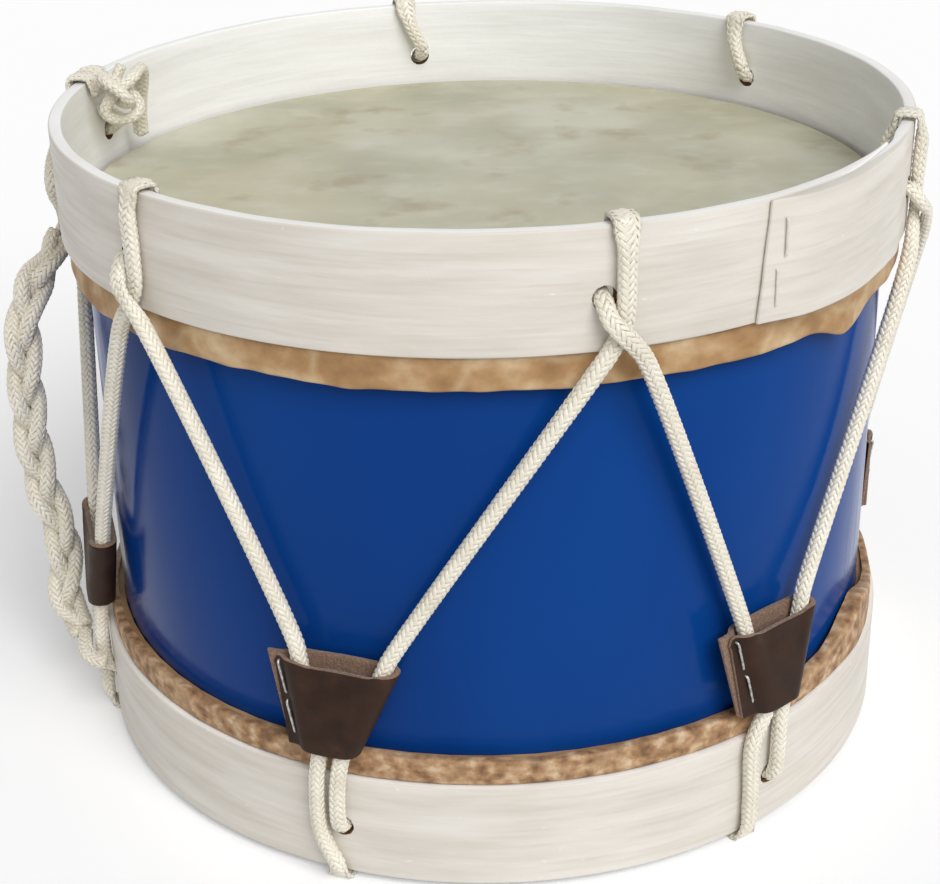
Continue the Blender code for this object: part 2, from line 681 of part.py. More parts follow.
def lacing_route():
    """The whole cord, from the knot, round the six bays and back to the knot."""
    last = BAYS - 1
    route = [
        (at(TOP_HOLE_AZIMUTHS[last] + turn(past, STRAND_INSIDE), STRAND_INSIDE, TOP_RIM_Z - drop), 1.0)
        for past, drop in LACE_START
    ]
    for bay in [last, *range(last)]:
        hole = TOP_HOLE_AZIMUTHS[bay]
        route += out_of_top_hole(hole)
        route += down_through_sleeve(bay)
        route += under_bottom_rim(bay)
        route += up_through_sleeve(bay)
        following = TOP_HOLE_AZIMUTHS[(bay + 1) % BAYS]
        route += up_to_top_hole(following)
        strand = following + turn(LACE_OFFSET)
        route += over_top_rim(strand, hoop_face(strand, TOP_SEAM_AZIMUTH))
        if (bay + 1) % BAYS != last:
            route.append((at(following + turn(LACE_OFFSET * 0.7), STRAND_INSIDE, TOP_RIM_Z - 0.0080), 1.0))
    route.append((at(strand, STRAND_INSIDE, TOP_RIM_Z - 0.0050), 0.9))
    return route


def least_gap(rings, radius):
    """The least space between two stretches of a tube that are not neighbours."""
    samples = []
    travelled = 0.0
    for (a, thin_a), (b, thin_b) in zip(rings, rings[1:]):
        length = (b - a).length
        pieces = max(1, ceil(length / 0.001))
        for step in range(pieces):
            t = step / pieces
            samples.append((a.lerp(b, t), travelled + length * t, radius * (thin_a + (thin_b - thin_a) * t)))
        travelled += length
    least = 1.0
    for index, (place, where, thick) in enumerate(samples):
        for other, there, other_thick in samples[index + 1 :]:
            if there - where > 6 * radius:
                gap = (place - other).length - thick - other_thick
                least = min(least, gap)
    return least


# Staples


def staple(name, middle, crown, legs, leg_length, collection, finish, parent=None):
    """A wire staple: its crown's middle, the crown's direction, and the way its legs go."""
    half = STAPLE_CROWN / 2
    data = bpy.data.curves.new(name, "CURVE")
    data.dimensions = "3D"
    data.bevel_depth = STAPLE_WIRE / 2
    data.bevel_resolution = 0
    data.use_fill_caps = True
    points = [
        middle - crown * half + legs * leg_length,
        middle - crown * half + legs * STAPLE_BEND,
        middle - crown * (half - STAPLE_BEND),
        middle + crown * (half - STAPLE_BEND),
        middle + crown * half + legs * STAPLE_BEND,
        middle + crown * half + legs * leg_length,
    ]
    spline = data.splines.new("POLY")
    spline.points.add(len(points) - 1)
    for point, place in zip(spline.points, points):
        point.co = (*place, 1.0)
    made = put(name, data, collection, finish)
    if parent:
        made.parent = parent
    return made


def hoop_staples(name, hoop, foot_z, seam, collection, cutters, finish):
    """Two staples through a counterhoop's lap, and the holes that their legs sit in."""
    rods = []
    for number, (past_seam, rise) in enumerate(HOOP_STAPLES, 1):
        azimuth = seam + turn(past_seam, HOOP_OUTER)
        radius = hoop_face(azimuth, seam) + CLEARANCE + STAPLE_WIRE / 2
        middle = at(azimuth, radius, foot_z + rise)
        outward = at(azimuth, 1.0, 0.0)
        staple(
            f"{name}_{number}", middle, Vector((0, 0, 1)), -outward, 2 * HOOP_THICKNESS, collection, finish
        )
        for end in (-0.5, 0.5):
            rods.append(radial_rod(azimuth, foot_z + rise + end * STAPLE_CROWN))
    drill(hoop, rods, 6, STAPLE_HOLE / 2, cutters, f"{name}_holes")


# Tighteners


def leg_slope(bay, side):
    """The angle from upright at which a leg runs through its sleeve."""
    return atan2(abs(LEGS_AT_TOP[bay][side] - LEGS_AT_FOOT[side]), TIGHTENER_HEIGHT)


def sleeve_section(bay, level):
    """The leather's middle line round both legs at a level, from 0 at the foot to 1 at the top.

    The line starts at the front ply's free edge and ends at the back ply's. Its points
    are across the sleeve and out from the drum.
    """
    left, right = (leg_across(bay, side, level) for side in (0, 1))
    edge_at_top = LEGS_AT_TOP[bay][0] - EDGE_PAST_LEG
    edge = EDGES_AT_FOOT[bay] + (edge_at_top - EDGES_AT_FOOT[bay]) * level
    flap = FLAP[0] + (FLAP[1] - FLAP[0]) * level
    around = CORD_RADIUS + CLEARANCE + LEATHER_THICKNESS / 2
    pinched = (LEATHER_THICKNESS + CLEARANCE) / 2
    left_reach = around / cos(leg_slope(bay, 0))
    right_reach = around / cos(leg_slope(bay, 1))
    front = [
        (edge, pinched),
        (left - left_reach * 1.25, pinched),
        (left - left_reach * 0.72, around * 0.88),
        (left, around),
        (right, around),
    ]
    fold = []
    for step in range(1, FOLD_STEPS):
        angle = pi / 2 - pi * step / FOLD_STEPS
        outside = 1 / cos(pi / (2 * FOLD_STEPS))
        fold.append((right + right_reach * outside * cos(angle), around * outside * sin(angle)))
    back = [(across, -out) for across, out in reversed(front)]
    back[-1] = (edge - flap, -pinched)
    return front + fold + back


def sleeve_mesh(bay):
    """The leather as one ribbon between its foot and top sections, before it is thickened."""
    work = bmesh.new()
    rows = []
    for level in (0.0, 1.0):
        points = sleeve_section(bay, level)
        height = TIGHTENER_HEIGHT * level
        lean = sleeve_lean(height)
        rows.append([work.verts.new((out - lean, across, height)) for across, out in points])
    for foot, top in zip(zip(rows[0], rows[0][1:]), zip(rows[1], rows[1][1:])):
        work.faces.new((foot[0], foot[1], top[1], top[0]))
    bmesh.ops.recalc_face_normals(work, faces=work.faces)
    mesh = bpy.data.meshes.new("tightener")
    work.to_mesh(mesh)
    work.free()
    return mesh


def tightener(bay, collection, cutters, leather, wire):
    """A sleeve with its two staples, all parented to an empty that slides along +Z."""
    number = bay + 1
    azimuth = BOTTOM_HOLE_AZIMUTHS[bay]
    slide = bpy.data.objects.new(f"tightener_{number}_slide", None)
    collection.objects.link(slide)
    slide.location = at(azimuth, TIGHTENER_RADIUS, TIGHTENER_Z)
    slide.rotation_euler = (0, 0, radians(azimuth))
    made = put(f"tightener_{number}", sleeve_mesh(bay), collection, leather)
    made.parent = slide
    wall = made.modifiers.new("leather", "SOLIDIFY")
    wall.thickness = LEATHER_THICKNESS
    wall.offset = 0.0
    wall.use_even_offset = True
    rods = []
    outside = LEATHER_THICKNESS + CLEARANCE / 2 + CLEARANCE + STAPLE_WIRE / 2
    for index, level in enumerate(TIGHTENER_STAPLES, 1):
        reach = (CORD_RADIUS + CLEARANCE + LEATHER_THICKNESS / 2) / cos(leg_slope(bay, 0))
        across = leg_across(bay, 0, level) - reach * 1.25 - STAPLE_SET_IN
        aside = LEGS_AT_TOP[bay][0] - LEGS_AT_FOOT[0]
        lean = Vector((-TIGHTENER_LEAN, aside, TIGHTENER_HEIGHT)).normalized()
        height = TIGHTENER_HEIGHT * level
        middle = Vector((outside - sleeve_lean(height), across, height))
        inward = Vector((-1, 0, 0))
        staple(
            f"tightener_{number}_staple_{index}",
            middle,
            lean,
            inward,
            2 * outside,
            collection,
            wire,
            slide,
        )
        for end in (-0.5, 0.5):
            through = middle + lean * STAPLE_CROWN * end
            rods.append((through + inward * 4 * outside, through - inward * 2 * outside))
    cutter = drill(made, rods, 6, STAPLE_HOLE / 2, cutters, f"tightener_{number}_holes")
    cutter.parent = slide
    return made


def stand_flat(cord, cutters):
    """Cuts the cord flat at the floor, where the drum stands on it."""
    reach = 2 * STRAND_OVER
    mesh = bpy.data.meshes.new("floor_cut")
    work = bmesh.new()
    bmesh.ops.create_cube(work, size=1.0)
    bmesh.ops.scale(work, verts=work.verts, vec=(reach, reach, CORD_DIAMETER))
    bmesh.ops.translate(work, verts=work.verts, vec=(0, 0, -CORD_DIAMETER / 2))
    work.to_mesh(mesh)
    work.free()
    cutter = put("floor_cut", mesh, cutters)
    cutter.hide_render = True
    cutter.display_type = "WIRE"
    cut = cord.modifiers.new("standing flats", "BOOLEAN")
    cut.operation = "DIFFERENCE"
    cut.object = cutter


def beside_hoops(azimuth, out, height):
    """A point outside the hoops, its height up from the bottom rim or, if below 0, down from the top rim."""
    rim = TOP_RIM_Z if height < 0 else BOTTOM_RIM_Z
    return at(azimuth, HOOP_OUTER + out, rim + height)


def upper_hitch_route():
    """From inside the rim, over it, and down to the handle's upper end."""
    azimuth = UPPER_HITCH_AZIMUTH
    face = hoop_face(azimuth, TOP_SEAM_AZIMUTH)
    end = beside_hoops(*HANDLE_ROUTE[0])
    onward = (beside_hoops(*HANDLE_ROUTE[1]) - end).normalized()
    inside = (at(azimuth, STRAND_INSIDE, TOP_RIM_Z - 0.0045), 0.9)
    down = [(beside_hoops(*stop), 1.0) for stop in UPPER_HITCH_ROUTE]
    last = [(end - onward * 0.0045, 1.0), (end - onward * 2 * CLEARANCE, 1.0)]
    return [inside, *reversed(over_top_rim(azimuth, face)), *down, *last]


def build():
    for existing in list(bpy.data.objects):
        bpy.data.objects.remove(existing)
    drum = bpy.data.collections.new("bombo_drum")
    cutters = bpy.data.collections.new("cutters")
    for collection in (drum, cutters):
        bpy.context.scene.collection.children.link(collection)

    blue_paint = material("blue gloss paint on wood", (0.010, 0.060, 0.265), 0.22)
    white_paint = material("white brushed paint on wood", (0.760, 0.715, 0.680), 0.50)
    head_skin = material("goat skin head", (0.470, 0.430, 0.310), 0.55)
    hairy_skin = material("goat skin with hair", (0.300, 0.180, 0.085), 0.80)
    bare_wood = material("bare ash hoop", (0.420, 0.270, 0.140), 0.60)
    white_cord = material("braided polyester cord", (0.720, 0.700, 0.610), 0.75)
    leather = material("dark brown leather", (0.045, 0.022, 0.014), 0.55)
    wire = material("galvanised staple wire", (0.620, 0.620, 0.600), 0.35, 0.9)

    turned("shell", shell_outline(), drum, blue_paint)
    heads = (
        ("top", TOP_HEAD_Z, 1, TOP_RING_HEIGHT, head_skin),
        ("bottom", BOTTOM_HEAD_Z, -1, BOTTOM_RING_HEIGHT, hairy_skin),
    )
    for name, face_z, direction, ring_height, skin in heads:
        outline = head_outline(face_z, direction, ring_height)
        turned(f"{name}_skin", outline, drum, skin, open_ended=True)
        outline = flesh_hoop_outline(face_z, direction, ring_height)
        turned(f"{name}_flesh_hoop", outline, drum, bare_wood)

    top_hoop = counterhoop("top_counterhoop", TOP_HOOP_BOTTOM_Z, TOP_SEAM_AZIMUTH, drum, white_paint)
    rods = [radial_rod(azimuth, TOP_HOLE_Z) for azimuth in TOP_HOLE_AZIMUTHS]
    drill(top_hoop, rods, 12, HOLE_RADIUS, cutters, "top_lacing_holes")
    hoop_staples(
        "top_hoop_staple", top_hoop, TOP_HOOP_BOTTOM_Z, TOP_SEAM_AZIMUTH, drum, cutters, wire
    )
    bottom_hoop = counterhoop("bottom_counterhoop", BOTTOM_RIM_Z, BOTTOM_SEAM_AZIMUTH, drum, white_paint)
    rods = [radial_rod(BOTTOM_HOLE_AZIMUTHS[bay], BOTTOM_HOLE_Z) for bay in range(BAYS)]
    drill(bottom_hoop, rods, 12, HOLE_RADIUS, cutters, "bottom_lacing_holes")
    hoop_staples(
        "bottom_hoop_staple", bottom_hoop, BOTTOM_RIM_Z, BOTTOM_SEAM_AZIMUTH, drum, cutters, wire
    )

    rings = curve_through(lacing_route())
    print("lacing cord: rings", len(rings), "least gap to itself, mm", round(least_gap(rings, CORD_RADIUS) * 1000, 2))
    cord = baked(tube("lashing_cord", rings, CORD_RADIUS, drum, white_cord), drum)
    stand_flat(cord, cutters)

    rings = curve_through(knot_route())
    print("knot: rings", len(rings), "least gap to itself, mm", round(least_gap(rings, CORD_RADIUS) * 1000, 2))
    tube("lashing_knot", rings, CORD_RADIUS, drum, white_cord)

    for bay in range(BAYS):
        tightener(bay, drum, cutters, leather, wire)

    plain = len(HANDLE_ROUTE) - len(HANDLE_START_TAPER) - len(HANDLE_END_TAPER)
    squeezes = [*HANDLE_START_TAPER, *[1.0] * plain, *HANDLE_END_TAPER]
    stops = [(beside_hoops(*stop), squeeze) for stop, squeeze in zip(HANDLE_ROUTE, squeezes)]
    handle = curve_through(stops, HANDLE_DIAMETER / 2)
    tube("handle_braid", handle, HANDLE_DIAMETER / 2, drum, white_cord)
    tube("handle_upper_hitch", curve_through(upper_hitch_route()), CORD_RADIUS, drum, white_cord)
    squeezes = [*LOWER_HITCH_TAPER, *[1.0] * (len(LOWER_HITCH_ROUTE) - len(LOWER_HITCH_TAPER))]
    stops = [(beside_hoops(*stop), squeeze) for stop, squeeze in zip(LOWER_HITCH_ROUTE, squeezes)]
    hitch = curve_through(stops)
    tube("handle_lower_hitch", hitch, CORD_RADIUS, drum, white_cord)


build()
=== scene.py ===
# %% [markdown]
# # Rope-laced bombo drum
# A bombo is a two-headed folk drum: a wooden shell, two skins lapped round thin hoops,
# and two wooden counterhoops that one long cord laces together. Leather tighteners slide
# on the cord and pull it taut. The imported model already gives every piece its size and
# place. This file dresses it: each piece is modelled again at full detail in the same
# place, and each gets the surface that the eye expects of it.

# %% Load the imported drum
from math import atan2, ceil, cos, degrees, pi, radians, sin

import bpy
import numpy as np
from mathutils import Matrix, Vector


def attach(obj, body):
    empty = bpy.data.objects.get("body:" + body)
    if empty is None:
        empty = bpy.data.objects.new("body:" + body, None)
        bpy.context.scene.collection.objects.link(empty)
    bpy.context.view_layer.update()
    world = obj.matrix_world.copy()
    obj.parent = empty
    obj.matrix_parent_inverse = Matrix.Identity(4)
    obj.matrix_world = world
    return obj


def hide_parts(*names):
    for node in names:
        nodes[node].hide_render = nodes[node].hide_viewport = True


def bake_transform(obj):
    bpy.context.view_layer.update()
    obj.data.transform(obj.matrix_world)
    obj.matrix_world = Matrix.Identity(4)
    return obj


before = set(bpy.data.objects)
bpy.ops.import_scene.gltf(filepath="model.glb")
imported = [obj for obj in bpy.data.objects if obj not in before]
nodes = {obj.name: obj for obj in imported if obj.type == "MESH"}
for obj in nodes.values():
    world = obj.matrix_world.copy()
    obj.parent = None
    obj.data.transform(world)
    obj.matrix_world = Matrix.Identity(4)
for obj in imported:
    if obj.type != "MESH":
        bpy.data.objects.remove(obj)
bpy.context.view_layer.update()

# %% [markdown]
# ## Sizes
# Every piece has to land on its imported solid, so the named sizes of the part's source are
# written again here, in metres. Levels and radii are worked out from them, which keeps the
# drum in one piece if a size is ever changed in both files.

# %% Named sizes
SHELL_RADIUS, SHELL_WALL, SHELL_SHOWING = 0.1378, 0.0045, 0.1265
SKIN_THICKNESS, BEARING_EDGE_RADIUS, HEAD_RECESS = 0.0007, 0.0020, 0.0316
TOP_RING_HEIGHT, BOTTOM_RING_HEIGHT, FLESH_HOOP_WIDTH, SKIN_TUCK = 0.0110, 0.0090, 0.0041, 0.0030
HOOP_PLAY, HOOP_THICKNESS, HOOP_HEIGHT, HOOP_EDGE_ROUND = 0.0020, 0.0042, 0.0370, 0.0007
LAP_LENGTH, SKIVE_LENGTH, SKIVED_END, LAP_EASE = 0.0700, 0.0450, 0.0012, 0.0140
OUTER_END_SKIVE, OUTER_END_THICKNESS = 0.0160, 0.0014
TOP_SEAM_AZIMUTH, BOTTOM_SEAM_AZIMUTH = 303.5, 82.0
HOLE_RADIUS, TOP_HOLE_DROP, BOTTOM_HOLE_RISE = 0.0037, 0.0210, 0.0180
TOP_HOLE_AZIMUTHS = (223.1, 283.2, 341.0, 42.4, 100.4, 164.8)
BOTTOM_HOLE_AZIMUTHS = (250.2, 309.3, 14.0, 70.5, 128.5, 195.3)
CORD_DIAMETER, RIM_CLEARANCE, CLEARANCE = 0.0056, 0.0004, 0.0003
LACE_OFFSET, FOOT_OFFSET, CROSSING_SQUEEZE = 0.0057, 0.0066, 0.68
BIGHT_OFFSETS = (-0.0015, -0.0115, -0.0060, -0.0080, -0.0050, -0.0070)
LEATHER_THICKNESS, TIGHTENER_HEIGHT, TIGHTENER_RISE, TIGHTENER_STANDOFF = 0.0018, 0.0312, 0.0025, 0.0041
LEGS_AT_FOOT, TIGHTENER_LEAN, LEG_LEADS = (-0.0059, 0.0031), 0.0024, (0.12, 0.06)
LEGS_AT_TOP = (  # the left and right leg of each bay, because no two are laced alike
    (-0.0118, 0.0170),
    (-0.0150, 0.0115),
    (-0.0138, 0.0160),
    (-0.0126, 0.0168),
    (-0.0144, 0.0152),
    (-0.0132, 0.0174),
)
EDGES_AT_FOOT, EDGE_PAST_LEG = (-0.0155, -0.0175, -0.0170, -0.0165, -0.0172, -0.0175), 0.0079
FLAP, CORNER_ROUND, THINNED_EDGE = (0.0004, 0.0030), 0.0028, 0.7
STAPLE_CROWN, STAPLE_WIRE, STAPLE_SET_IN = 0.0115, 0.0009, 0.0010
HOOP_STAPLES, TIGHTENER_STAPLES = ((0.0055, 0.0255), (0.0030, 0.0105)), (0.765, 0.33)

# %% Levels and radii that follow
CORD_RADIUS = CORD_DIAMETER / 2
SQUEEZED_RADIUS = CORD_RADIUS * 0.55
RIM_OFFSET = SQUEEZED_RADIUS + RIM_CLEARANCE
BOTTOM_RIM_Z = RIM_OFFSET + SQUEEZED_RADIUS - CORD_DIAMETER / 10
BOTTOM_HOOP_TOP_Z = BOTTOM_RIM_Z + HOOP_HEIGHT
SHELL_SHOWS_FROM_Z = BOTTOM_HOOP_TOP_Z + CLEARANCE + BOTTOM_RING_HEIGHT
SHELL_SHOWS_TO_Z = SHELL_SHOWS_FROM_Z + SHELL_SHOWING
TOP_HOOP_BOTTOM_Z = SHELL_SHOWS_TO_Z + TOP_RING_HEIGHT + CLEARANCE
TOP_RIM_Z = TOP_HOOP_BOTTOM_Z + HOOP_HEIGHT
TOP_HEAD_Z, BOTTOM_HEAD_Z = TOP_RIM_Z - HEAD_RECESS, BOTTOM_RIM_Z + HEAD_RECESS
TOP_HOLE_Z, BOTTOM_HOLE_Z = TOP_RIM_Z - TOP_HOLE_DROP, BOTTOM_RIM_Z + BOTTOM_HOLE_RISE
TIGHTENER_Z = SHELL_SHOWS_FROM_Z + TIGHTENER_RISE
FLESH_HOOP_INNER = SHELL_RADIUS + CLEARANCE
RING_RADIUS = FLESH_HOOP_INNER + FLESH_HOOP_WIDTH + CLEARANCE + SKIN_THICKNESS
SKIN_ON_SHELL = SHELL_RADIUS + CLEARANCE + SKIN_THICKNESS
HOOP_INNER = SKIN_ON_SHELL + HOOP_PLAY
HOOP_OUTER = HOOP_INNER + HOOP_THICKNESS
STRAND_OUTSIDE = HOOP_OUTER + CLEARANCE + CORD_RADIUS
STRAND_INSIDE = HOOP_INNER - 2 * CLEARANCE - CORD_RADIUS
STRAND_UNDER = HOOP_OUTER + CLEARANCE + CORD_RADIUS * CROSSING_SQUEEZE
STRAND_OVER = STRAND_UNDER + CORD_DIAMETER * CROSSING_SQUEEZE + 1.8 * CLEARANCE
TIGHTENER_RADIUS = SHELL_RADIUS + TIGHTENER_STANDOFF + LEATHER_THICKNESS + CLEARANCE + CORD_RADIUS
BAYS = len(TOP_HOLE_AZIMUTHS)
print("rims at", round(BOTTOM_RIM_Z, 5), "and", round(TOP_RIM_Z, 5), "m, hoops", round(2000 * HOOP_OUTER), "mm across")

# %% [markdown]
# ## Camera
# The photograph looks down on the drum at about 26 degrees. The camera was fitted to the
# rims of both hoops, so a piece that sits right in the model also sits right in the frame.
# It is made first, because the cords are judged by what this camera sees of them.

# %% Camera
camera_data = bpy.data.cameras.new("camera")
camera = bpy.data.objects.new("camera", camera_data)
bpy.context.scene.collection.objects.link(camera)
bpy.context.scene.camera = camera
camera_data.sensor_width = 36
camera_data.lens = 36 * 1833.6 / 940
camera_data.shift_x = (470 - 488.26) / 940
camera_data.shift_y = (455.46 - 442) / 940
camera_data.clip_start = 0.01
elevation = radians(26.12)
forward = Vector((0, cos(elevation), -sin(elevation)))
look_at = Vector((0, 0, 0.573 * HOOP_OUTER + BOTTOM_RIM_Z))
camera.location = look_at - forward * 4.732 * HOOP_OUTER
roll = Matrix.Rotation(radians(1.036), 4, forward)
camera.rotation_euler = (roll @ forward.to_track_quat("-Z", "Y").to_matrix().to_4x4()).to_euler()
bpy.context.scene.view_settings.view_transform = "Standard"
print("camera at", [round(x, 3) for x in camera.location])

# %% [markdown]
# ## Colours and shader nodes
# Paint and leather are judged as the sRGB hex values that a colour picker shows,
# while the renderer works in linear light, so one function turns the first into the second.
# A second one adds a shader node with its settings and links in one line, so that each
# finish below reads as a short list of layers.


# %% Helpers for finishes
def colour(hex_value):
    """A linear RGBA colour from an sRGB hex value."""
    channels = [int(hex_value[i : i + 2], 16) / 255 for i in (1, 3, 5)]
    linear = [c / 12.92 if c <= 0.04045 else ((c + 0.055) / 1.055) ** 2.4 for c in channels]
    return (*linear, 1.0)


def add_node(tree, kind, settings=None, links=None):
    """Adds a shader node with its settings, its socket values and its links."""
    made = tree.nodes.new(kind)
    for key, value in (settings or {}).items():
        if key in made.inputs:
            made.inputs[key].default_value = value
        else:
            setattr(made, key, value)
    for socket, source in (links or {}).items():
        tree.links.new(source, made.inputs[socket])
    return made


def new_finish(name, roughness, metallic=0.0):
    """A new material, its node tree and its Principled shader."""
    made = bpy.data.materials.new(name)
    made.use_nodes = True
    shader = made.node_tree.nodes["Principled BSDF"]
    shader.inputs["Roughness"].default_value = roughness
    shader.inputs["Metallic"].default_value = metallic
    return made, made.node_tree, shader


def grain(tree, stretch, size, detail=3.0, place="Object"):
    """Noise of a grain size in metres, stretched along the axes that stretch makes small."""
    where = add_node(tree, "ShaderNodeTexCoord").outputs[place]
    laid = add_node(tree, "ShaderNodeMapping", {"Scale": stretch}, {"Vector": where})
    settings = {"Scale": 1 / size, "Detail": detail}
    return add_node(tree, "ShaderNodeTexNoise", settings, {"Vector": laid.outputs[0]}).outputs[0]


def shades(tree, amount, stops):
    """Colours along a 0 to 1 amount, given as (position, hex) stops."""
    ramp = add_node(tree, "ShaderNodeValToRGB", None, {"Fac": amount})
    elements = ramp.color_ramp.elements
    for element, (position, hex_value) in zip(elements, (stops[0], stops[-1])):
        element.position, element.color = position, colour(hex_value)
    for position, hex_value in stops[1:-1]:
        elements.new(position).color = colour(hex_value)
    return ramp.outputs[0]


def blended(tree, amount, first, second):
    """Mixes two colours: first where amount is 0, second where it is 1."""
    mix = add_node(tree, "ShaderNodeMix", {"data_type": "RGBA"})
    tree.links.new(amount, mix.inputs[0])
    for socket, source in ((mix.inputs[6], first), (mix.inputs[7], second)):
        if isinstance(source, str):
            socket.default_value = colour(source)
        else:
            tree.links.new(source, socket)
    return mix.outputs[2]


def ranged(tree, amount, low, high, start=0.35, end=0.65):
    """Maps an amount between start and end to a value between low and high."""
    settings = {"From Min": start, "From Max": end, "To Min": low, "To Max": high}
    return add_node(tree, "ShaderNodeMapRange", settings, {"Value": amount}).outputs[0]


def raised(tree, shader, layers):
    """Bumps from (height, strength, depth in metres) layers, one on top of the other."""
    under = None
    for height, strength, depth in layers:
        links = {"Height": height}
        if under:
            links["Normal"] = under
        under = add_node(tree, "ShaderNodeBump", {"Strength": strength, "Distance": depth}, links).outputs[0]
    tree.links.new(under, shader.inputs["Normal"])


# %% [markdown]
# ## Helpers for placing and shaping
# The drum is round, so places are given by azimuth, radius and height. Every new object
# starts from nothing selected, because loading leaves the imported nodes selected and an
# operator would change them too. A finished piece has its place in its mesh and its object
# at the origin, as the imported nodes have.


# %% Helpers for places
def at(azimuth, radius, height):
    """The point at an azimuth in degrees, a radius and a height."""
    return Vector((radius * cos(radians(azimuth)), radius * sin(radians(azimuth)), height))


def turn(arc, radius=STRAND_OUTSIDE):
    """The degrees that an arc takes up, on the strands outside the hoop by default."""
    return degrees(arc / radius)


def share(value, start, end):
    """0 before start, 1 after end, and a smooth step between."""
    part = min(1.0, max(0.0, (value - start) / (end - start)))
    return part * part * (3 - 2 * part)


def deselect():
    if bpy.context.object and bpy.context.object.mode != "OBJECT":
        bpy.ops.object.mode_set(mode="OBJECT")
    bpy.ops.object.select_all(action="DESELECT")


def only(piece):
    """Makes piece the one selected and active object."""
    deselect()
    piece.select_set(True)
    bpy.context.view_layer.objects.active = piece
    return piece


def points_of(piece):
    """A piece's vertices as an array of x, y and z."""
    found = np.empty(len(piece.data.vertices) * 3)
    piece.data.vertices.foreach_get("co", found)
    return found.reshape(-1, 3)


def move_points(piece, points):
    piece.data.vertices.foreach_set("co", np.asarray(points, float).ravel())
    piece.data.update()


def with_modifier(piece, kind, **settings):
    """Adds a modifier with its settings and applies it."""
    only(piece)
    bpy.ops.object.modifier_add(type=kind)
    modifier = piece.modifiers[-1]
    for key, value in settings.items():
        setattr(modifier, key, value)
    bpy.ops.object.modifier_apply(modifier=modifier.name)
    return piece


def stands_for(piece, node, slot, *finishes):
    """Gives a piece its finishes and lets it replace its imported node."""
    for finish in finishes:
        piece.data.materials.append(finish)
    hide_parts(node)
    faces = len(piece.data.polygons)
    print(f"{piece.name}: {faces} faces, for {node}")
    return piece


def rests_at_origin(piece):
    """Moves an object's place, turn and scale into its mesh."""
    only(piece)
    bpy.ops.object.transform_apply(location=True, rotation=True, scale=True)
    return piece


# %% [markdown]
# ## The cord's finish
# Drum lacing is braided polyester: white, slightly waxy, with a soft shine along each
# bundle of fibres. The braid itself is modelled below, so the finish only adds the fine
# fibres along each bundle, read from the bundle's own UV map (along it and across it),
# and a little dirt that follows no pattern.

# %% Braided cord finish
cord_finish, tree, shader = new_finish("waxed white polyester braid", 0.32)
where = add_node(tree, "ShaderNodeTexCoord").outputs["UV"]
fibres = add_node(tree, "ShaderNodeMapping", {"Scale": (120.0, 7.0, 1.0)}, {"Vector": where})
fibre_noise = add_node(
    tree, "ShaderNodeTexNoise", {"Scale": 1.0, "Detail": 4.0}, {"Vector": fibres.outputs[0]}
).outputs[0]
soiling = grain(tree, (1, 1, 1), 0.012)
clean = shades(tree, fibre_noise, [(0.30, "#D9D2BF"), (0.55, "#E8E2D3"), (0.75, "#F3EFE5")])
tree.links.new(blended(tree, ranged(tree, soiling, 0.0, 0.35, 0.5, 0.8), clean, "#BFB296"), shader.inputs["Base Color"])
raised(tree, shader, [(fibre_noise, 0.35, 0.0002)])
shader.inputs["Sheen Weight"].default_value = 0.15
shader.inputs["Sheen Roughness"].default_value = 0.4
shader.inputs["Specular IOR Level"].default_value = 0.55
print("finish:", cord_finish.name)

# %% [markdown]
# ## Braiding a cord
# A braided cord is 16 bundles of fibre round a core. Eight run round it to the left and
# eight to the right, and each passes over two and under two of the others. That crossing
# is what makes the rows of small Vs. It could be drawn as a bump pattern on a plain tube,
# but then its outline stays smooth and the Vs look printed on. Here each bundle is a real
# thin strand that rises and dips as it goes round. The arrays are worked out with NumPy,
# because operators would need one object for each bundle.

# %% Smooth line through stops
PITCH = 0.018  # along the cord, for one turn of a bundle
RINGS_PER_PITCH = 20


def smooth_line(stops):
    """A curve through (point, thin, wide) stops, as rows of x, y, z, thin and wide."""
    rows = np.array([(*point, thin, wide) for point, thin, wide in stops])
    places = rows[:, :3]
    knots = np.concatenate([[0], np.cumsum(np.linalg.norm(np.diff(places, axis=0), axis=1) ** 0.5)])
    slopes = np.empty_like(places)
    for i in range(len(rows)):
        a, b = max(i - 1, 0), min(i + 1, len(rows) - 1)
        slopes[i] = (places[b] - places[a]) / (knots[b] - knots[a])
        if 0 < i < len(rows) - 1:
            left = (places[i] - places[a]) / (knots[i] - knots[a])
            right = (places[b] - places[i]) / (knots[b] - knots[i])
            slopes[i] = left + right - slopes[i]
    dense = []
    for i in range(len(rows) - 1):
        span = knots[i + 1] - knots[i]
        for t in np.arange(24) / 24:
            place = (
                (2 * t**3 - 3 * t**2 + 1) * places[i]
                + (t**3 - 2 * t**2 + t) * span * slopes[i]
                + (3 * t**2 - 2 * t**3) * places[i + 1]
                + (t**3 - t**2) * span * slopes[i + 1]
            )
            dense.append([*place, *(rows[i, 3:] + (rows[i + 1, 3:] - rows[i, 3:]) * share(t, 0, 1))])
    dense.append(rows[-1])
    return np.array(dense)


def paced(rows, step):
    """The same line with its rows a step apart, and how far along it each row is."""
    length = np.concatenate([[0], np.cumsum(np.linalg.norm(np.diff(rows[:, :3], axis=0), axis=1))])
    count = max(2, ceil(length[-1] / step))
    along = np.linspace(0, length[-1], count + 1)
    return np.column_stack([np.interp(along, length, column) for column in rows.T]), along


def unit(rows):
    return rows / np.linalg.norm(rows, axis=1, keepdims=True)


def across_of(places, reference):
    """Two directions across a line at each of its points, the first nearest the reference."""
    ahead = unit(np.gradient(places, axis=0))
    side = unit(reference - np.sum(reference * ahead, axis=1, keepdims=True) * ahead)
    return side, np.cross(ahead, side)


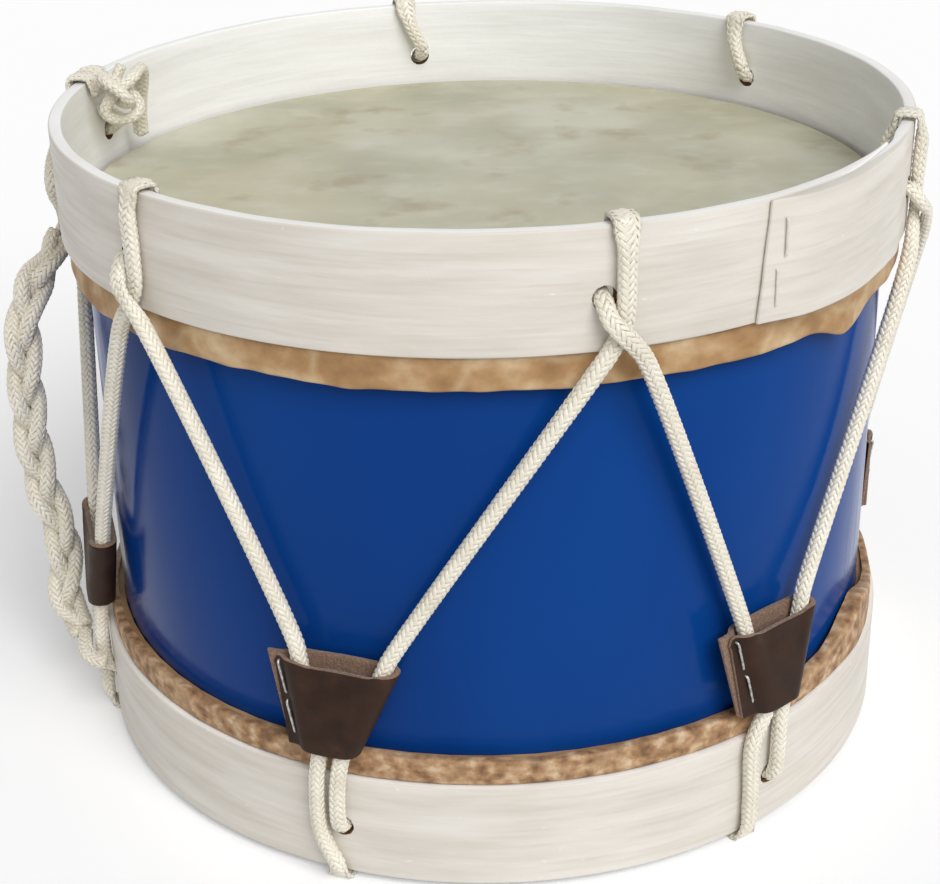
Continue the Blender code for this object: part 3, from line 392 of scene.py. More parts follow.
def carried_across(places):
    """Two directions across a line that turn with it and never twist round it."""
    ahead = unit(np.gradient(places, axis=0))
    side = np.cross(ahead[0], (0.3, 0.5, 0.8))
    sides = []
    for way in ahead:
        side = side - np.dot(side, way) * way
        side = side / np.linalg.norm(side)
        sides.append(side)
    return np.array(sides), np.cross(ahead, sides)


# %% Braid of sixteen bundles
BUNDLE_HALF_WIDTH, BUNDLE_HALF_THICKNESS, BUNDLE_RISE = 0.00082, 0.00042, 0.00034


def ring_faces(rings, around, first):
    """Quads between rings of vertices, as an array of four indices each."""
    rows, columns = np.meshgrid(np.arange(rings - 1), np.arange(around), indexing="ij")
    here, beside = rows * around + columns, rows * around + (columns + 1) % around
    return first + np.stack([here, beside, beside + around, here + around], axis=-1).reshape(-1, 4)


def braid(rows, along, side, out, radius=CORD_RADIUS):
    """Vertices, quads and UVs of a braided cord along a line of x, y, z, thin and wide rows."""
    places = rows[:, :3]
    thick, wide = radius * rows[:, 3:4], radius * rows[:, 4:5]
    size = radius / CORD_RADIUS
    vertices, quads, uvs, count = [], [], [], 0
    turns = along / (PITCH * size)
    section = np.array([(-1, 0), (-0.55, 1), (0.55, 1), (1, 0), (0, -1)])
    for bundle in range(16):
        way = 1 if bundle < 8 else -1
        number = bundle % 8
        angle = way * 2 * pi * turns + 2 * pi * number / 8
        crossings = way * 16 * turns + 2 * number - 0.5
        rise = way * np.cos(2 * pi * crossings / 4) * BUNDLE_RISE * size
        c, s = np.cos(angle)[:, None], np.sin(angle)[:, None]
        inset = (BUNDLE_HALF_THICKNESS + BUNDLE_RISE) * size - rise[:, None]
        normal = unit(c * side / wide + s * out / thick)
        line = places + (wide * c) * side + (thick * s) * out - inset * normal
        ahead = unit(np.gradient(line, axis=0))
        flank = unit(np.cross(ahead, normal))
        squash = np.clip(thick / CORD_RADIUS, 0.45, 1.0)
        for x, y in section:
            vertices.append(line + flank * x * BUNDLE_HALF_WIDTH * size + normal * y * BUNDLE_HALF_THICKNESS * squash)
        ring = np.stack(vertices[-5:], axis=1).reshape(-1, 3)
        del vertices[-5:]
        vertices.append(ring)
        quads.append(ring_faces(len(places), 5, count))
        uvs.append(np.stack([np.repeat(along[:, None], 5, 1), np.tile(np.arange(5) / 5, (len(places), 1))], -1).reshape(-1, 2))
        count += len(ring)
    core = []
    for step in range(8):
        c, s = cos(pi * step / 4), sin(pi * step / 4)
        core.append(places + (wide * 0.76 * c) * side + (thick * 0.72 * s) * out)
    vertices.append(np.stack(core, axis=1).reshape(-1, 3))
    quads.append(ring_faces(len(places), 8, count))
    uvs.append(np.zeros((len(places) * 8, 2)))
    return np.concatenate(vertices), np.concatenate(quads), np.concatenate(uvs)


def mesh_piece(name, parts):
    """One smooth object from (vertices, quads, UVs) parts."""
    count, vertices, quads, uvs = 0, [], [], []
    for some_vertices, some_quads, some_uvs in parts:
        vertices.append(some_vertices)
        quads.append(some_quads + count)
        uvs.append(some_uvs)
        count += len(some_vertices)
    vertices, quads, uvs = np.concatenate(vertices), np.concatenate(quads), np.concatenate(uvs)
    mesh = bpy.data.meshes.new(name)
    mesh.vertices.add(len(vertices))
    mesh.vertices.foreach_set("co", vertices.ravel())
    mesh.loops.add(quads.size)
    mesh.loops.foreach_set("vertex_index", quads.ravel().astype(np.int32))
    mesh.polygons.add(len(quads))
    mesh.polygons.foreach_set("loop_start", np.arange(0, quads.size, 4, dtype=np.int32))
    mesh.polygons.foreach_set("use_smooth", np.ones(len(quads), bool))
    mesh.uv_layers.new(name="along_and_across").data.foreach_set("uv", uvs[quads.ravel()].ravel())
    mesh.update(calc_edges=True)
    piece = bpy.data.objects.new(name, mesh)
    bpy.context.scene.collection.objects.link(piece)
    only(piece)
    bpy.ops.object.mode_set(mode="EDIT")
    bpy.ops.mesh.select_all(action="SELECT")
    bpy.ops.mesh.fill_holes(sides=8)
    bpy.ops.object.mode_set(mode="OBJECT")
    return piece


# %% [markdown]
# ## The lacing
# One cord goes round the whole drum. From each top hole it runs down through a leather
# tightener, under the bottom rim and out of a bottom hole, up through the same tightener,
# up beside the next top hole, over the rim and out of that hole, across itself. Where it
# bends over a rim it is pressed flat and wide. The route is worked out once for the whole
# cord, so the bundles run on without a break, and is then cut where the leather hides it
# and inside the rim. That lets each bay follow its own tightener.

# %% Route of the lacing
FULL, OVER_RIM, IN_HOLE, UPRIGHT, UNDER_RIM = (1, 1), (0.52, 1.5), (0.88, 1.05), (0.86, 1.1), (0.33, 1.5)
CROSSING = (CROSSING_SQUEEZE, 1.12)


def wood_thickness(travelled):
    """The hoop strip's thickness at a distance from its inner end."""
    length = 2 * pi * HOOP_INNER + LAP_LENGTH
    inner_end = SKIVED_END + (HOOP_THICKNESS - SKIVED_END) * share(travelled, 0, SKIVE_LENGTH)
    loss = (HOOP_THICKNESS - OUTER_END_THICKNESS) * share(travelled, length - OUTER_END_SKIVE, length)
    return inner_end - loss


def wood_lift(travelled):
    """How far the strip's inner face stands out from the hoop's own inner radius."""
    once_round = 2 * pi * HOOP_INNER
    if travelled < once_round:
        return (SKIVED_END + CLEARANCE) * share(travelled, once_round - LAP_EASE, once_round)
    return wood_thickness(travelled - once_round) + CLEARANCE


def hoop_face(azimuth, seam):
    """The outermost radius of a counterhoop at an azimuth."""
    once_round = 2 * pi * HOOP_INNER
    travelled = (LAP_LENGTH + radians((seam - azimuth) % 360) * HOOP_INNER) % once_round
    behind = travelled + once_round if travelled <= LAP_LENGTH else travelled
    return HOOP_INNER + wood_lift(behind) + wood_thickness(behind)


def over_top_rim(azimuth, face):
    slant = RIM_OFFSET * 0.7071
    return [
        (at(azimuth, face + CLEARANCE + CORD_RADIUS * 0.85, TOP_RIM_Z - 0.0068), 0.85, 1.15),
        (at(azimuth, face + RIM_OFFSET, TOP_RIM_Z - 0.0010), *OVER_RIM),
        (at(azimuth, face + slant, TOP_RIM_Z + slant), *OVER_RIM),
        (at(azimuth, face - 0.0002, TOP_RIM_Z + RIM_OFFSET), *OVER_RIM),
        (at(azimuth, HOOP_INNER + 0.0002, TOP_RIM_Z + RIM_OFFSET), *OVER_RIM),
        (at(azimuth, HOOP_INNER - slant, TOP_RIM_Z + slant), *OVER_RIM),
        (at(azimuth, HOOP_INNER - RIM_OFFSET, TOP_RIM_Z - 0.0006), *OVER_RIM),
    ]


def out_of_top_hole(azimuth):
    middle = HOOP_INNER + HOOP_THICKNESS / 2
    pulled = azimuth - turn(0.0006)
    return [
        (at(pulled, STRAND_INSIDE - 0.0003, TOP_HOLE_Z + 0.0042), *FULL),
        (at(pulled, HOOP_INNER - 0.0012, TOP_HOLE_Z + 0.0008), *IN_HOLE),
        (at(pulled, middle, TOP_HOLE_Z), *IN_HOLE),
        (at(pulled, HOOP_OUTER + 0.0012, TOP_HOLE_Z - 0.0005), *IN_HOLE),
        (at(azimuth - turn(0.0003), HOOP_OUTER + 0.0031, TOP_HOLE_Z - 0.0026), 0.84, 1.05),
        (at(azimuth + turn(0.0006), HOOP_OUTER + 0.0049, TOP_HOLE_Z - 0.0052), 0.78, 1.08),
        (at(azimuth + turn(0.0024), STRAND_OVER - 0.0003, TOP_HOLE_Z - 0.0074), *CROSSING),
        (at(azimuth + turn(0.0047), STRAND_OVER, TOP_HOLE_Z - 0.0099), *CROSSING),
        (at(azimuth + turn(0.0075), STRAND_OVER - 0.0006, TOP_HOLE_Z - 0.0132), 0.86, 1.06),
        (at(azimuth + turn(0.0110), STRAND_OUTSIDE + 0.0018, TOP_HOLE_Z - 0.0185), *FULL),
    ]


def up_to_top_hole(azimuth):
    beside = azimuth + turn(LACE_OFFSET)
    return [
        (at(azimuth - turn(0.0042), STRAND_OUTSIDE - 0.0004, TOP_HOLE_Z - 0.0225), *FULL),
        (at(azimuth + turn(0.0012), STRAND_UNDER + 0.0004, TOP_HOLE_Z - 0.0150), 0.88, 1.05),
        (at(azimuth + turn(0.0050), STRAND_UNDER, TOP_HOLE_Z - 0.0080), *CROSSING),
        (at(beside, STRAND_UNDER + 0.0002, TOP_HOLE_Z), 0.82, 1.1),
        (at(beside, STRAND_UNDER + 0.0003, TOP_HOLE_Z + 0.0090), *UPRIGHT),
    ]


def sleeve_lean(height):
    """How far a sleeve leans towards the shell at a height above its foot."""
    return TIGHTENER_LEAN * height / TIGHTENER_HEIGHT


def leg_across(bay, side, level):
    """Where a cord leg runs across its sleeve, from level 0 at the foot to 1 at the top."""
    return LEGS_AT_FOOT[side] + (LEGS_AT_TOP[bay][side] - LEGS_AT_FOOT[side]) * level


def leg_at(bay, side, level):
    """A point on a cord leg in its sleeve, from level 0 at the foot to 1 at the top."""
    azimuth = BOTTOM_HOLE_AZIMUTHS[bay]
    across = leg_across(bay, side, level)
    sideways = Vector((-sin(radians(azimuth)), cos(radians(azimuth)), 0))
    height = TIGHTENER_HEIGHT * level
    return at(azimuth, TIGHTENER_RADIUS - sleeve_lean(height), TIGHTENER_Z + height) + sideways * across


def through_sleeve(bay, side):
    above, below = LEG_LEADS
    levels = (1.0 + above, 1.0, 0.5, 0.0, -below)
    if side == 1:
        levels = levels[::-1]
    return [(leg_at(bay, side, level), *FULL) for level in levels]


def under_bottom_rim(bay):
    hole = BOTTOM_HOLE_AZIMUTHS[bay]
    beside = hole + turn(min(BIGHT_OFFSETS[bay], -FOOT_OFFSET))
    bight = hole + turn(BIGHT_OFFSETS[bay])
    slant = RIM_OFFSET * 0.7071
    under = BOTTOM_RIM_Z - RIM_OFFSET
    return [
        (at(beside, STRAND_OUTSIDE, BOTTOM_HOOP_TOP_Z), *FULL),
        (at(beside, STRAND_OUTSIDE, BOTTOM_HOLE_Z), *FULL),
        (at((beside + bight) / 2, STRAND_OUTSIDE, BOTTOM_RIM_Z + 0.0100), *FULL),
        (at(bight, HOOP_OUTER + 2 * CLEARANCE + CORD_RADIUS * 0.9, BOTTOM_RIM_Z + 0.0050), 0.9, 1.05),
        (at(bight, HOOP_OUTER + RIM_OFFSET, BOTTOM_RIM_Z + 0.0004), 0.5, 1.3),
        (at(bight, HOOP_OUTER + slant, BOTTOM_RIM_Z - slant + 0.0003), 0.38, 1.4),
        (at(bight, HOOP_OUTER - 0.0002, under), *UNDER_RIM),
        (at(bight, HOOP_INNER + 0.0002, under), *UNDER_RIM),
        (at(bight, HOOP_INNER - slant, BOTTOM_RIM_Z - slant + 0.0003), 0.38, 1.4),
        (at(bight, HOOP_INNER - RIM_OFFSET, BOTTOM_RIM_Z + 0.0004), 0.5, 1.3),
        (at((bight + hole) / 2, STRAND_INSIDE, BOTTOM_RIM_Z + 0.0070), *FULL),
        (at(hole, STRAND_INSIDE - 0.0003, BOTTOM_HOLE_Z - 0.0042), *FULL),
        (at(hole, HOOP_INNER - 0.0012, BOTTOM_HOLE_Z - 0.0008), *IN_HOLE),
        (at(hole, HOOP_INNER + HOOP_THICKNESS / 2, BOTTOM_HOLE_Z), *IN_HOLE),
        (at(hole, HOOP_OUTER + 0.0012, BOTTOM_HOLE_Z + 0.0007), *IN_HOLE),
        (at(hole, STRAND_OUTSIDE, BOTTOM_HOLE_Z + 0.0048), *FULL),
        (at(hole + turn(0.0006), STRAND_OUTSIDE, BOTTOM_HOOP_TOP_Z), *FULL),
    ]


# %% The whole lacing in one list, with marks where it is cut
LACE_START = ((0.0095, 0.0105), (0.0050, 0.0142))  # past the last top hole, below the rim
last_bay = BAYS - 1
stops, cuts = [], []
for past, drop in LACE_START:
    azimuth = TOP_HOLE_AZIMUTHS[last_bay] + turn(past, STRAND_INSIDE)
    stops.append((at(azimuth, STRAND_INSIDE, TOP_RIM_Z - drop), *FULL))
for bay in [last_bay, *range(last_bay)]:
    following = (bay + 1) % BAYS
    hole = TOP_HOLE_AZIMUTHS[following]
    strand = hole + turn(LACE_OFFSET)
    cuts.append(("down", bay, len(stops)))
    stops += out_of_top_hole(TOP_HOLE_AZIMUTHS[bay]) + through_sleeve(bay, 0)
    cuts.append(("foot", bay, len(stops) - 3))
    stops += under_bottom_rim(bay) + through_sleeve(bay, 1)
    cuts.append(("up", bay, len(stops) - 3))
    stops += up_to_top_hole(hole) + over_top_rim(strand, hoop_face(strand, TOP_SEAM_AZIMUTH))
    if following != last_bay:
        stops.append((at(hole + turn(LACE_OFFSET * 0.7), STRAND_INSIDE, TOP_RIM_Z - 0.0080), *FULL))
stops.append((at(strand, STRAND_INSIDE, TOP_RIM_Z - 0.0050), 0.9, 1.0))
cuts[0] = ("down", last_bay, 0)
rows, along = paced(smooth_line(stops), PITCH / RINGS_PER_PITCH)
around_drum = np.column_stack([-rows[:, 1], rows[:, 0], 0 * rows[:, 0]])
side, out = across_of(rows[:, :3], unit(around_drum))
print("lacing:", len(stops), "stops,", round(along[-1], 3), "m of cord")


# %% Cut and braid the lacing
def nearest_row(stop):
    place = np.array(stops[stop][0])
    return int(np.argmin(np.linalg.norm(rows[:, :3] - place, axis=1)))


starts = [0] + [nearest_row(stop) for _, _, stop in cuts[1:]] + [len(rows) - 1]
for (kind, bay, _), start, end in zip(cuts, starts, starts[1:]):
    part = slice(start, end + 1)
    name = f"lacing_{kind}_{bay + 1}"
    vertices, quads, uvs = braid(rows[part], along[part], side[part], out[part])
    vertices[:, 2] = np.maximum(vertices[:, 2], 0.00002)
    piece = mesh_piece(name, [(vertices, quads, uvs)])
    stands_for(piece, "lashing_cord", "white_cord", cord_finish)
    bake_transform(piece)

# %% [markdown]
# ## The knot inside the rim
# The two ends of the cord meet in an overhand knot behind the rim, where they can't snag.
# An overhand knot is close to a trefoil curve opened at one lobe, which a few sines give.
# Its two ends are cut short and melted, so they close.

# %% Knot and tails
KNOT_SIZE, KNOT_DEPTH, KNOT_AZIMUTH, KNOT_SET_IN, KNOT_DROP, KNOT_OPENING = 0.0031, 1.6, 171.0, 0.0124, 0.0034, 0.42
LONG_TAIL = (
    (7.7, -6.7, -0.85, 1.0),
    (7.2, -5.3, -0.7, 1.0),
    (6.2, -3.0, -0.2, 1.0),
    (5.1, -0.6, 0.6, 0.95),
    (3.9, 1.4, 1.4, 0.85),
    (2.6, 2.3, 1.7, 0.76),
)
SHORT_TAIL = ((3.2, 1.2, -1.45, 0.74), (3.9, 2.1, -1.1, 0.78))
knot_middle = at(KNOT_AZIMUTH, HOOP_INNER - KNOT_SET_IN, TOP_RIM_Z - KNOT_DROP)
inward = -at(KNOT_AZIMUTH, 1, 0)
sideways = Vector((0, 0, 1)).cross(inward)
turns = []
for step in range(37):
    t = pi / 3 + KNOT_OPENING + (2 * pi - 2 * KNOT_OPENING) * step / 36
    turns.append((sin(t) + 2 * sin(2 * t), cos(t) - 2 * cos(2 * t), -KNOT_DEPTH * sin(3 * t), 0.76))
knot_stops = [
    (knot_middle + KNOT_SIZE * (x * sideways + y * Vector((0, 0, 1)) + depth * inward), thin, thin * 1.05)
    for x, y, depth, thin in (*LONG_TAIL, *turns, *SHORT_TAIL)
]


def braided(name, node, some_stops):
    """One braided cord through stops, for a node that stays with the drum."""
    line, distance = paced(smooth_line(some_stops), PITCH / RINGS_PER_PITCH)
    piece = mesh_piece(name, [braid(line, distance, *carried_across(line[:, :3]))])
    stands_for(piece, node, "white_cord", cord_finish)
    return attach(piece, "drum")


braided("knot_and_tails", "lashing_knot", knot_stops)

# %% [markdown]
# ## The handle
# The handle is a three-strand plait of the same cord. In a plait each strand swings from
# side to side once while it passes over and under twice, so its path is a figure of eight
# drawn out along the handle: a sine across and a sine of twice the speed through it.

# %% Plaited handle
HANDLE_DIAMETER, PLAIT_LENGTH, PLAIT_HALF_WIDTH, PLAIT_HALF_DEPTH = 0.0136, 0.062, 0.0037, 0.0032
HANDLE_ROUTE = (  # azimuth, out from the hoops, up from the bottom rim or down from the top rim
    (179.0, 0.0051, -0.0492),
    (180.2, 0.0070, -0.0530),
    (181.6, 0.0096, -0.0573),
    (183.0, 0.0127, -0.0616),
    (184.2, 0.0155, -0.0662),
    (185.2, 0.0180, -0.0735),
    (186.0, 0.0190, -0.0820),
    (186.0, 0.0199, -0.0926),
    (186.0, 0.0203, -0.1042),
    (186.0, 0.0205, 0.1010),
    (186.0, 0.0195, 0.0889),
    (186.2, 0.0182, 0.0786),
    (186.6, 0.0156, 0.0705),
    (187.0, 0.0139, 0.0588),
    (187.5, 0.0146, 0.0490),
    (188.0, 0.0153, 0.0402),
    (188.5, 0.0140, 0.0336),
    (189.4, 0.0122, 0.0306),
    (190.3, 0.0109, 0.0294),
    (191.2, 0.0100, 0.0288),
)
HANDLE_START_TAPER = (0.62, 0.80, 0.95)  # squeeze of its first stops
HANDLE_END_TAPER = (0.97, 0.88, 0.78, 0.71, 0.65)  # squeeze of its last stops


def beside_hoops(azimuth, away, height):
    """A point outside the hoops, up from the bottom rim or, below 0, down from the top rim."""
    return at(azimuth, HOOP_OUTER + away, (TOP_RIM_Z if height < 0 else BOTTOM_RIM_Z) + height)


plain = len(HANDLE_ROUTE) - len(HANDLE_START_TAPER) - len(HANDLE_END_TAPER)
tapers = [*HANDLE_START_TAPER, *[1.0] * plain, *HANDLE_END_TAPER]
middle_line = smooth_line([(beside_hoops(*stop), taper, taper) for stop, taper in zip(HANDLE_ROUTE, tapers)])
middle_line, handle_along = paced(middle_line, 0.001)
radial = middle_line[:, :3] * (1, 1, 0)
broad, deep = across_of(middle_line[:, :3], unit(radial))
strands = []
for strand in range(3):
    swing = 2 * pi * (handle_along / PLAIT_LENGTH + strand / 3)
    offset = broad * (PLAIT_HALF_WIDTH * np.sin(swing))[:, None] + deep * (PLAIT_HALF_DEPTH * np.sin(2 * swing))[:, None]
    thin = middle_line[:, 3:4]
    girth = 0.54 + 0.54 * thin
    line, distance = paced(np.column_stack([middle_line[:, :3] + offset * thin, girth, girth]), 0.00098)
    strands.append(braid(line, distance, *carried_across(line[:, :3])))
handle = stands_for(mesh_piece("plaited_handle", strands), "handle_braid", "white_cord", cord_finish)
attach(handle, "drum")
print("handle:", round(float(handle_along[-1]), 3), "m long")

# %% [markdown]
# ## The turns that hold the handle
# A single turn of cord ties each end of the handle: the upper one goes over the top rim,
# the lower one round the lacing beside the tightener.

# %% Handle hitches
LOWER_HITCH_ROUTE = (
    (191.6, 0.0087, 0.0285),
    (192.8, 0.0092, 0.0281),
    (194.2, 0.0095, 0.0275),
    (195.5, 0.0096, 0.0268),
    (197.0, 0.0085, 0.0263),
    (198.1, 0.0060, 0.0259),
    (198.7, 0.0033, 0.0256),
)
LOWER_HITCH_TAPER = (0.90, 0.95)  # squeeze of its first stops
UPPER_HITCH_AZIMUTH = 170.4
UPPER_HITCH_ROUTE = (  # the same three numbers, down the outside of the top counterhoop
    (173.4, 0.0033, -0.0130),
    (177.8, 0.0033, -0.0186),
    (181.2, 0.0034, -0.0222),
    (182.6, 0.0035, -0.0268),
    (181.6, 0.0035, -0.0320),
    (179.2, 0.0035, -0.0372),
    (177.8, 0.0036, -0.0420),
)
handle_top = beside_hoops(*HANDLE_ROUTE[0])
onward = (beside_hoops(*HANDLE_ROUTE[1]) - handle_top).normalized()
over_rim = over_top_rim(UPPER_HITCH_AZIMUTH, hoop_face(UPPER_HITCH_AZIMUTH, TOP_SEAM_AZIMUTH))
upper_hitch = [(at(UPPER_HITCH_AZIMUTH, STRAND_INSIDE, TOP_RIM_Z - 0.0045), 0.9, 1.0), *over_rim[::-1]]
upper_hitch += [(beside_hoops(*stop), 1, 1) for stop in UPPER_HITCH_ROUTE]
upper_hitch += [(handle_top - onward * away, 1, 1) for away in (0.0045, 2 * CLEARANCE)]
line, distance = paced(smooth_line(upper_hitch), PITCH / RINGS_PER_PITCH)
around_drum = np.column_stack([-line[:, 1], line[:, 0], 0 * line[:, 0]])
piece = mesh_piece("upper_hitch", [braid(line, distance, *across_of(line[:, :3], unit(around_drum)))])
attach(stands_for(piece, "handle_upper_hitch", "white_cord", cord_finish), "drum")
tapers = [*LOWER_HITCH_TAPER, *[1.0] * (len(LOWER_HITCH_ROUTE) - len(LOWER_HITCH_TAPER))]
lower_hitch = [(beside_hoops(*stop), taper, taper) for stop, taper in zip(LOWER_HITCH_ROUTE, tapers)]
braided("lower_hitch", "handle_lower_hitch", lower_hitch)

# %% [markdown]
# ## The shell
# The shell is a plywood tube with a thick coat of blue gloss enamel. A cylinder without
# ends is the start. Solidify gives it its wall, inwards, so the outside keeps its size, and
# Bevel rounds the edges that the skins are stretched over. 256 sides keep the outline and
# the long reflections free of corners.

# %% Blue enamel
enamel, tree, shader = new_finish("blue gloss enamel on plywood", 0.2)
pooled = grain(tree, (1, 1, 0.35), 0.09, 2.0)
peel = grain(tree, (1, 1, 1), 0.0035, 2.0)
brushed_on = grain(tree, (1, 1, 0.06), 0.004, 3.0)
tree.links.new(shades(tree, pooled, [(0.3, "#08367A"), (0.7, "#0B4088")]), shader.inputs["Base Color"])
tree.links.new(ranged(tree, brushed_on, 0.12, 0.21), shader.inputs["Roughness"])
raised(tree, shader, [(peel, 0.05, 0.0004), (brushed_on, 0.04, 0.0003)])
shader.inputs["Specular IOR Level"].default_value = 0.06
print("finish:", enamel.name)

# %% Shell
shell_foot = BOTTOM_HEAD_Z + SKIN_THICKNESS + CLEARANCE
shell_top = TOP_HEAD_Z - SKIN_THICKNESS - CLEARANCE
deselect()
bpy.ops.mesh.primitive_cylinder_add(
    vertices=256,
    radius=SHELL_RADIUS,
    depth=shell_top - shell_foot,
    end_fill_type="NOTHING",
    location=(0, 0, (shell_top + shell_foot) / 2),
)
shell = rests_at_origin(bpy.context.object)
shell.name = "drum_shell"
with_modifier(shell, "SOLIDIFY", thickness=SHELL_WALL, offset=-1.0)
with_modifier(shell, "BEVEL", width=BEARING_EDGE_RADIUS * 0.6, segments=3, limit_method="ANGLE")
bpy.ops.object.shade_smooth_by_angle(angle=radians(30))
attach(stands_for(shell, "shell", "shell_paint", enamel), "drum")

# %% [markdown]
# ## The heads
# Each head is a wet goat skin, stretched over the shell and lapped round a thin flesh
# hoop. When it dries it keeps the folds of the lap. The played face is scraped smooth; on
# the bottom head short hair is left on. A circle is extruded ring by ring along the half
# section, as on a lathe, and the lapped ring is then pushed in and out by slow waves.

# %% Skins and bare wood
played_skin, tree, shader = new_finish("scraped goat skin", 0.5)
clouds = grain(tree, (1, 1, 1), 0.05, 5.0)
streaks = grain(tree, (0.8, 1.2, 1), 0.016, 5.0)
base = shades(tree, clouds, [(0.32, "#A8A791"), (0.5, "#B7B5A0"), (0.68, "#C6C4B2")])
yellowed = ranged(tree, grain(tree, (1, 1, 1), 0.11, 2.0), 0.0, 0.5, 0.45, 0.65)
toned = blended(tree, yellowed, base, "#B9AF8B")
toned = blended(tree, ranged(tree, streaks, 0.0, 0.4, 0.5, 0.72), toned, "#CFCCBC")
stains = ranged(tree, grain(tree, (1, 1, 1), 0.02, 3.0), 0.0, 0.5, 0.58, 0.74)
toned = blended(tree, stains, toned, "#94825F")
tree.links.new(toned, shader.inputs["Base Color"])
raised(tree, shader, [(streaks, 0.35, 0.0007), (grain(tree, (1, 1, 1), 0.0008, 3.0), 0.15, 0.0002)])
shader.inputs["Specular IOR Level"].default_value = 0.4


def lapped_skin(name, stops, crease, crease_size, hair):
    """Skin dried round its hoop: mottled colour, pale creases and, if hairy, short hair."""
    made, tree, shader = new_finish(name, 0.62)
    mottle = grain(tree, (1, 1, 1.3), 0.0045 if hair else 0.014, 6.0)
    wander = add_node(tree, "ShaderNodeTexCoord").outputs["Object"]
    bent = add_node(tree, "ShaderNodeTexNoise", {"Scale": 60.0, "Detail": 2.0}, {"Vector": wander}).outputs[1]
    shift = add_node(tree, "ShaderNodeVectorMath", {"operation": "MULTIPLY_ADD"}, {0: bent, 2: wander})
    shift.inputs[1].default_value = (0.012, 0.012, 0.012)
    cells = add_node(tree, "ShaderNodeTexVoronoi", {"feature": "DISTANCE_TO_EDGE", "Scale": 1 / crease_size})
    tree.links.new(shift.outputs[0], cells.inputs["Vector"])
    creased = ranged(tree, cells.outputs["Distance"], 0.28, 0.0, 0.0, 0.06)
    fine = grain(tree, (1, 1, 0.4) if hair else (1, 1, 1), 0.0007, 4.0)
    toned = blended(tree, creased, shades(tree, mottle, stops), crease)
    tree.links.new(toned, shader.inputs["Base Color"])
    raised(tree, shader, [(creased, 0.6, 0.0005), (mottle, 0.3, 0.0006), (fine, 0.5 if hair else 0.3, 0.0003)])
    shader.inputs["Specular IOR Level"].default_value = 0.35
    return made


top_lap_skin = lapped_skin(
    "goat skin dried round the top flesh hoop",
    [(0.3, "#8C6944"), (0.48, "#A98459"), (0.6, "#BC9D76"), (0.75, "#D2BC98")],
    "#DCC9A6",
    0.04,
    False,
)
bottom_lap_skin = lapped_skin(
    "goat skin with short brown hair",
    [(0.33, "#75563B"), (0.47, "#9C7855"), (0.56, "#B08C68"), (0.7, "#CDB596")],
    "#CFB28C",
    0.026,
    True,
)
bare_ash, tree, shader = new_finish("bare ash strip", 0.65)
tree.links.new(
    shades(tree, grain(tree, (1, 1, 14), 0.012, 5.0), [(0.3, "#8A643C"), (0.7, "#B8946A")]), shader.inputs["Base Color"]
)
for node in ("top_flesh_hoop", "bottom_flesh_hoop"):
    nodes[node].data.materials.clear()
    nodes[node].data.materials.append(bare_ash)
print("finishes:", played_skin.name, "/", top_lap_skin.name, "/", bottom_lap_skin.name, "/", bare_ash.name)


# %% Turning a half section
def turned(name, outline, sides):
    """Extrudes a circle ring by ring along (radius, height) points, as on a lathe."""
    deselect()
    first_radius, first_height = outline[0]
    bpy.ops.mesh.primitive_circle_add(
        vertices=sides, radius=first_radius, fill_type="TRIFAN", location=(0, 0, first_height)
    )
    made = rests_at_origin(bpy.context.object)
    made.name = name
    bpy.ops.object.mode_set(mode="EDIT")
    bpy.ops.mesh.select_all(action="DESELECT")
    bpy.ops.object.mode_set(mode="OBJECT")
    for vertex in made.data.vertices:
        vertex.select = vertex.co.xy.length > first_radius / 2
    for edge in made.data.edges:
        edge.select = all(made.data.vertices[i].select for i in edge.vertices)
    bpy.ops.object.mode_set(mode="EDIT")
    bpy.ops.mesh.select_mode(type="EDGE")
    for (before, low), (radius, height) in zip(outline, outline[1:]):
        bpy.ops.mesh.extrude_edges_move()
        scale = radius / before
        bpy.ops.transform.resize(value=(scale, scale, 1), center_override=(0, 0, 0))
        bpy.ops.transform.translate(value=(0, 0, height - low))
    bpy.ops.mesh.edge_face_add()
    bpy.ops.mesh.poke()
    bpy.ops.mesh.select_all(action="SELECT")
    bpy.ops.mesh.normals_make_consistent(inside=False)
    bpy.ops.object.mode_set(mode="OBJECT")
    return made


def rounded(corner_points):
    """A polyline with each given (radius, height, rounding) corner replaced by a short arc."""
    line = []
    for index, (x, y, size) in enumerate(corner_points):
        if not size:
            line.append((x, y))
            continue
        corner = Vector((x, y))
        before, after = Vector(corner_points[index - 1][:2]), Vector(corner_points[index + 1][:2])
        start = corner + (before - corner).normalized() * size
        end = corner + (after - corner).normalized() * size
        for t in (0.0, 0.25, 0.5, 0.75, 1.0):
            line.append(tuple(start * (1 - t) ** 2 + corner * 2 * t * (1 - t) + end * t**2))
    return line


def spaced(line, step):
    """Adds points to a polyline so that none are further apart than step."""
    filled = [line[0]]
    for (x0, y0), (x1, y1) in zip(line, line[1:]):
        count = max(1, ceil(Vector((x1 - x0, y1 - y0)).length / step))
        filled += [(x0 + (x1 - x0) * k / count, y0 + (y1 - y0) * k / count) for k in range(1, count + 1)]
    return filled


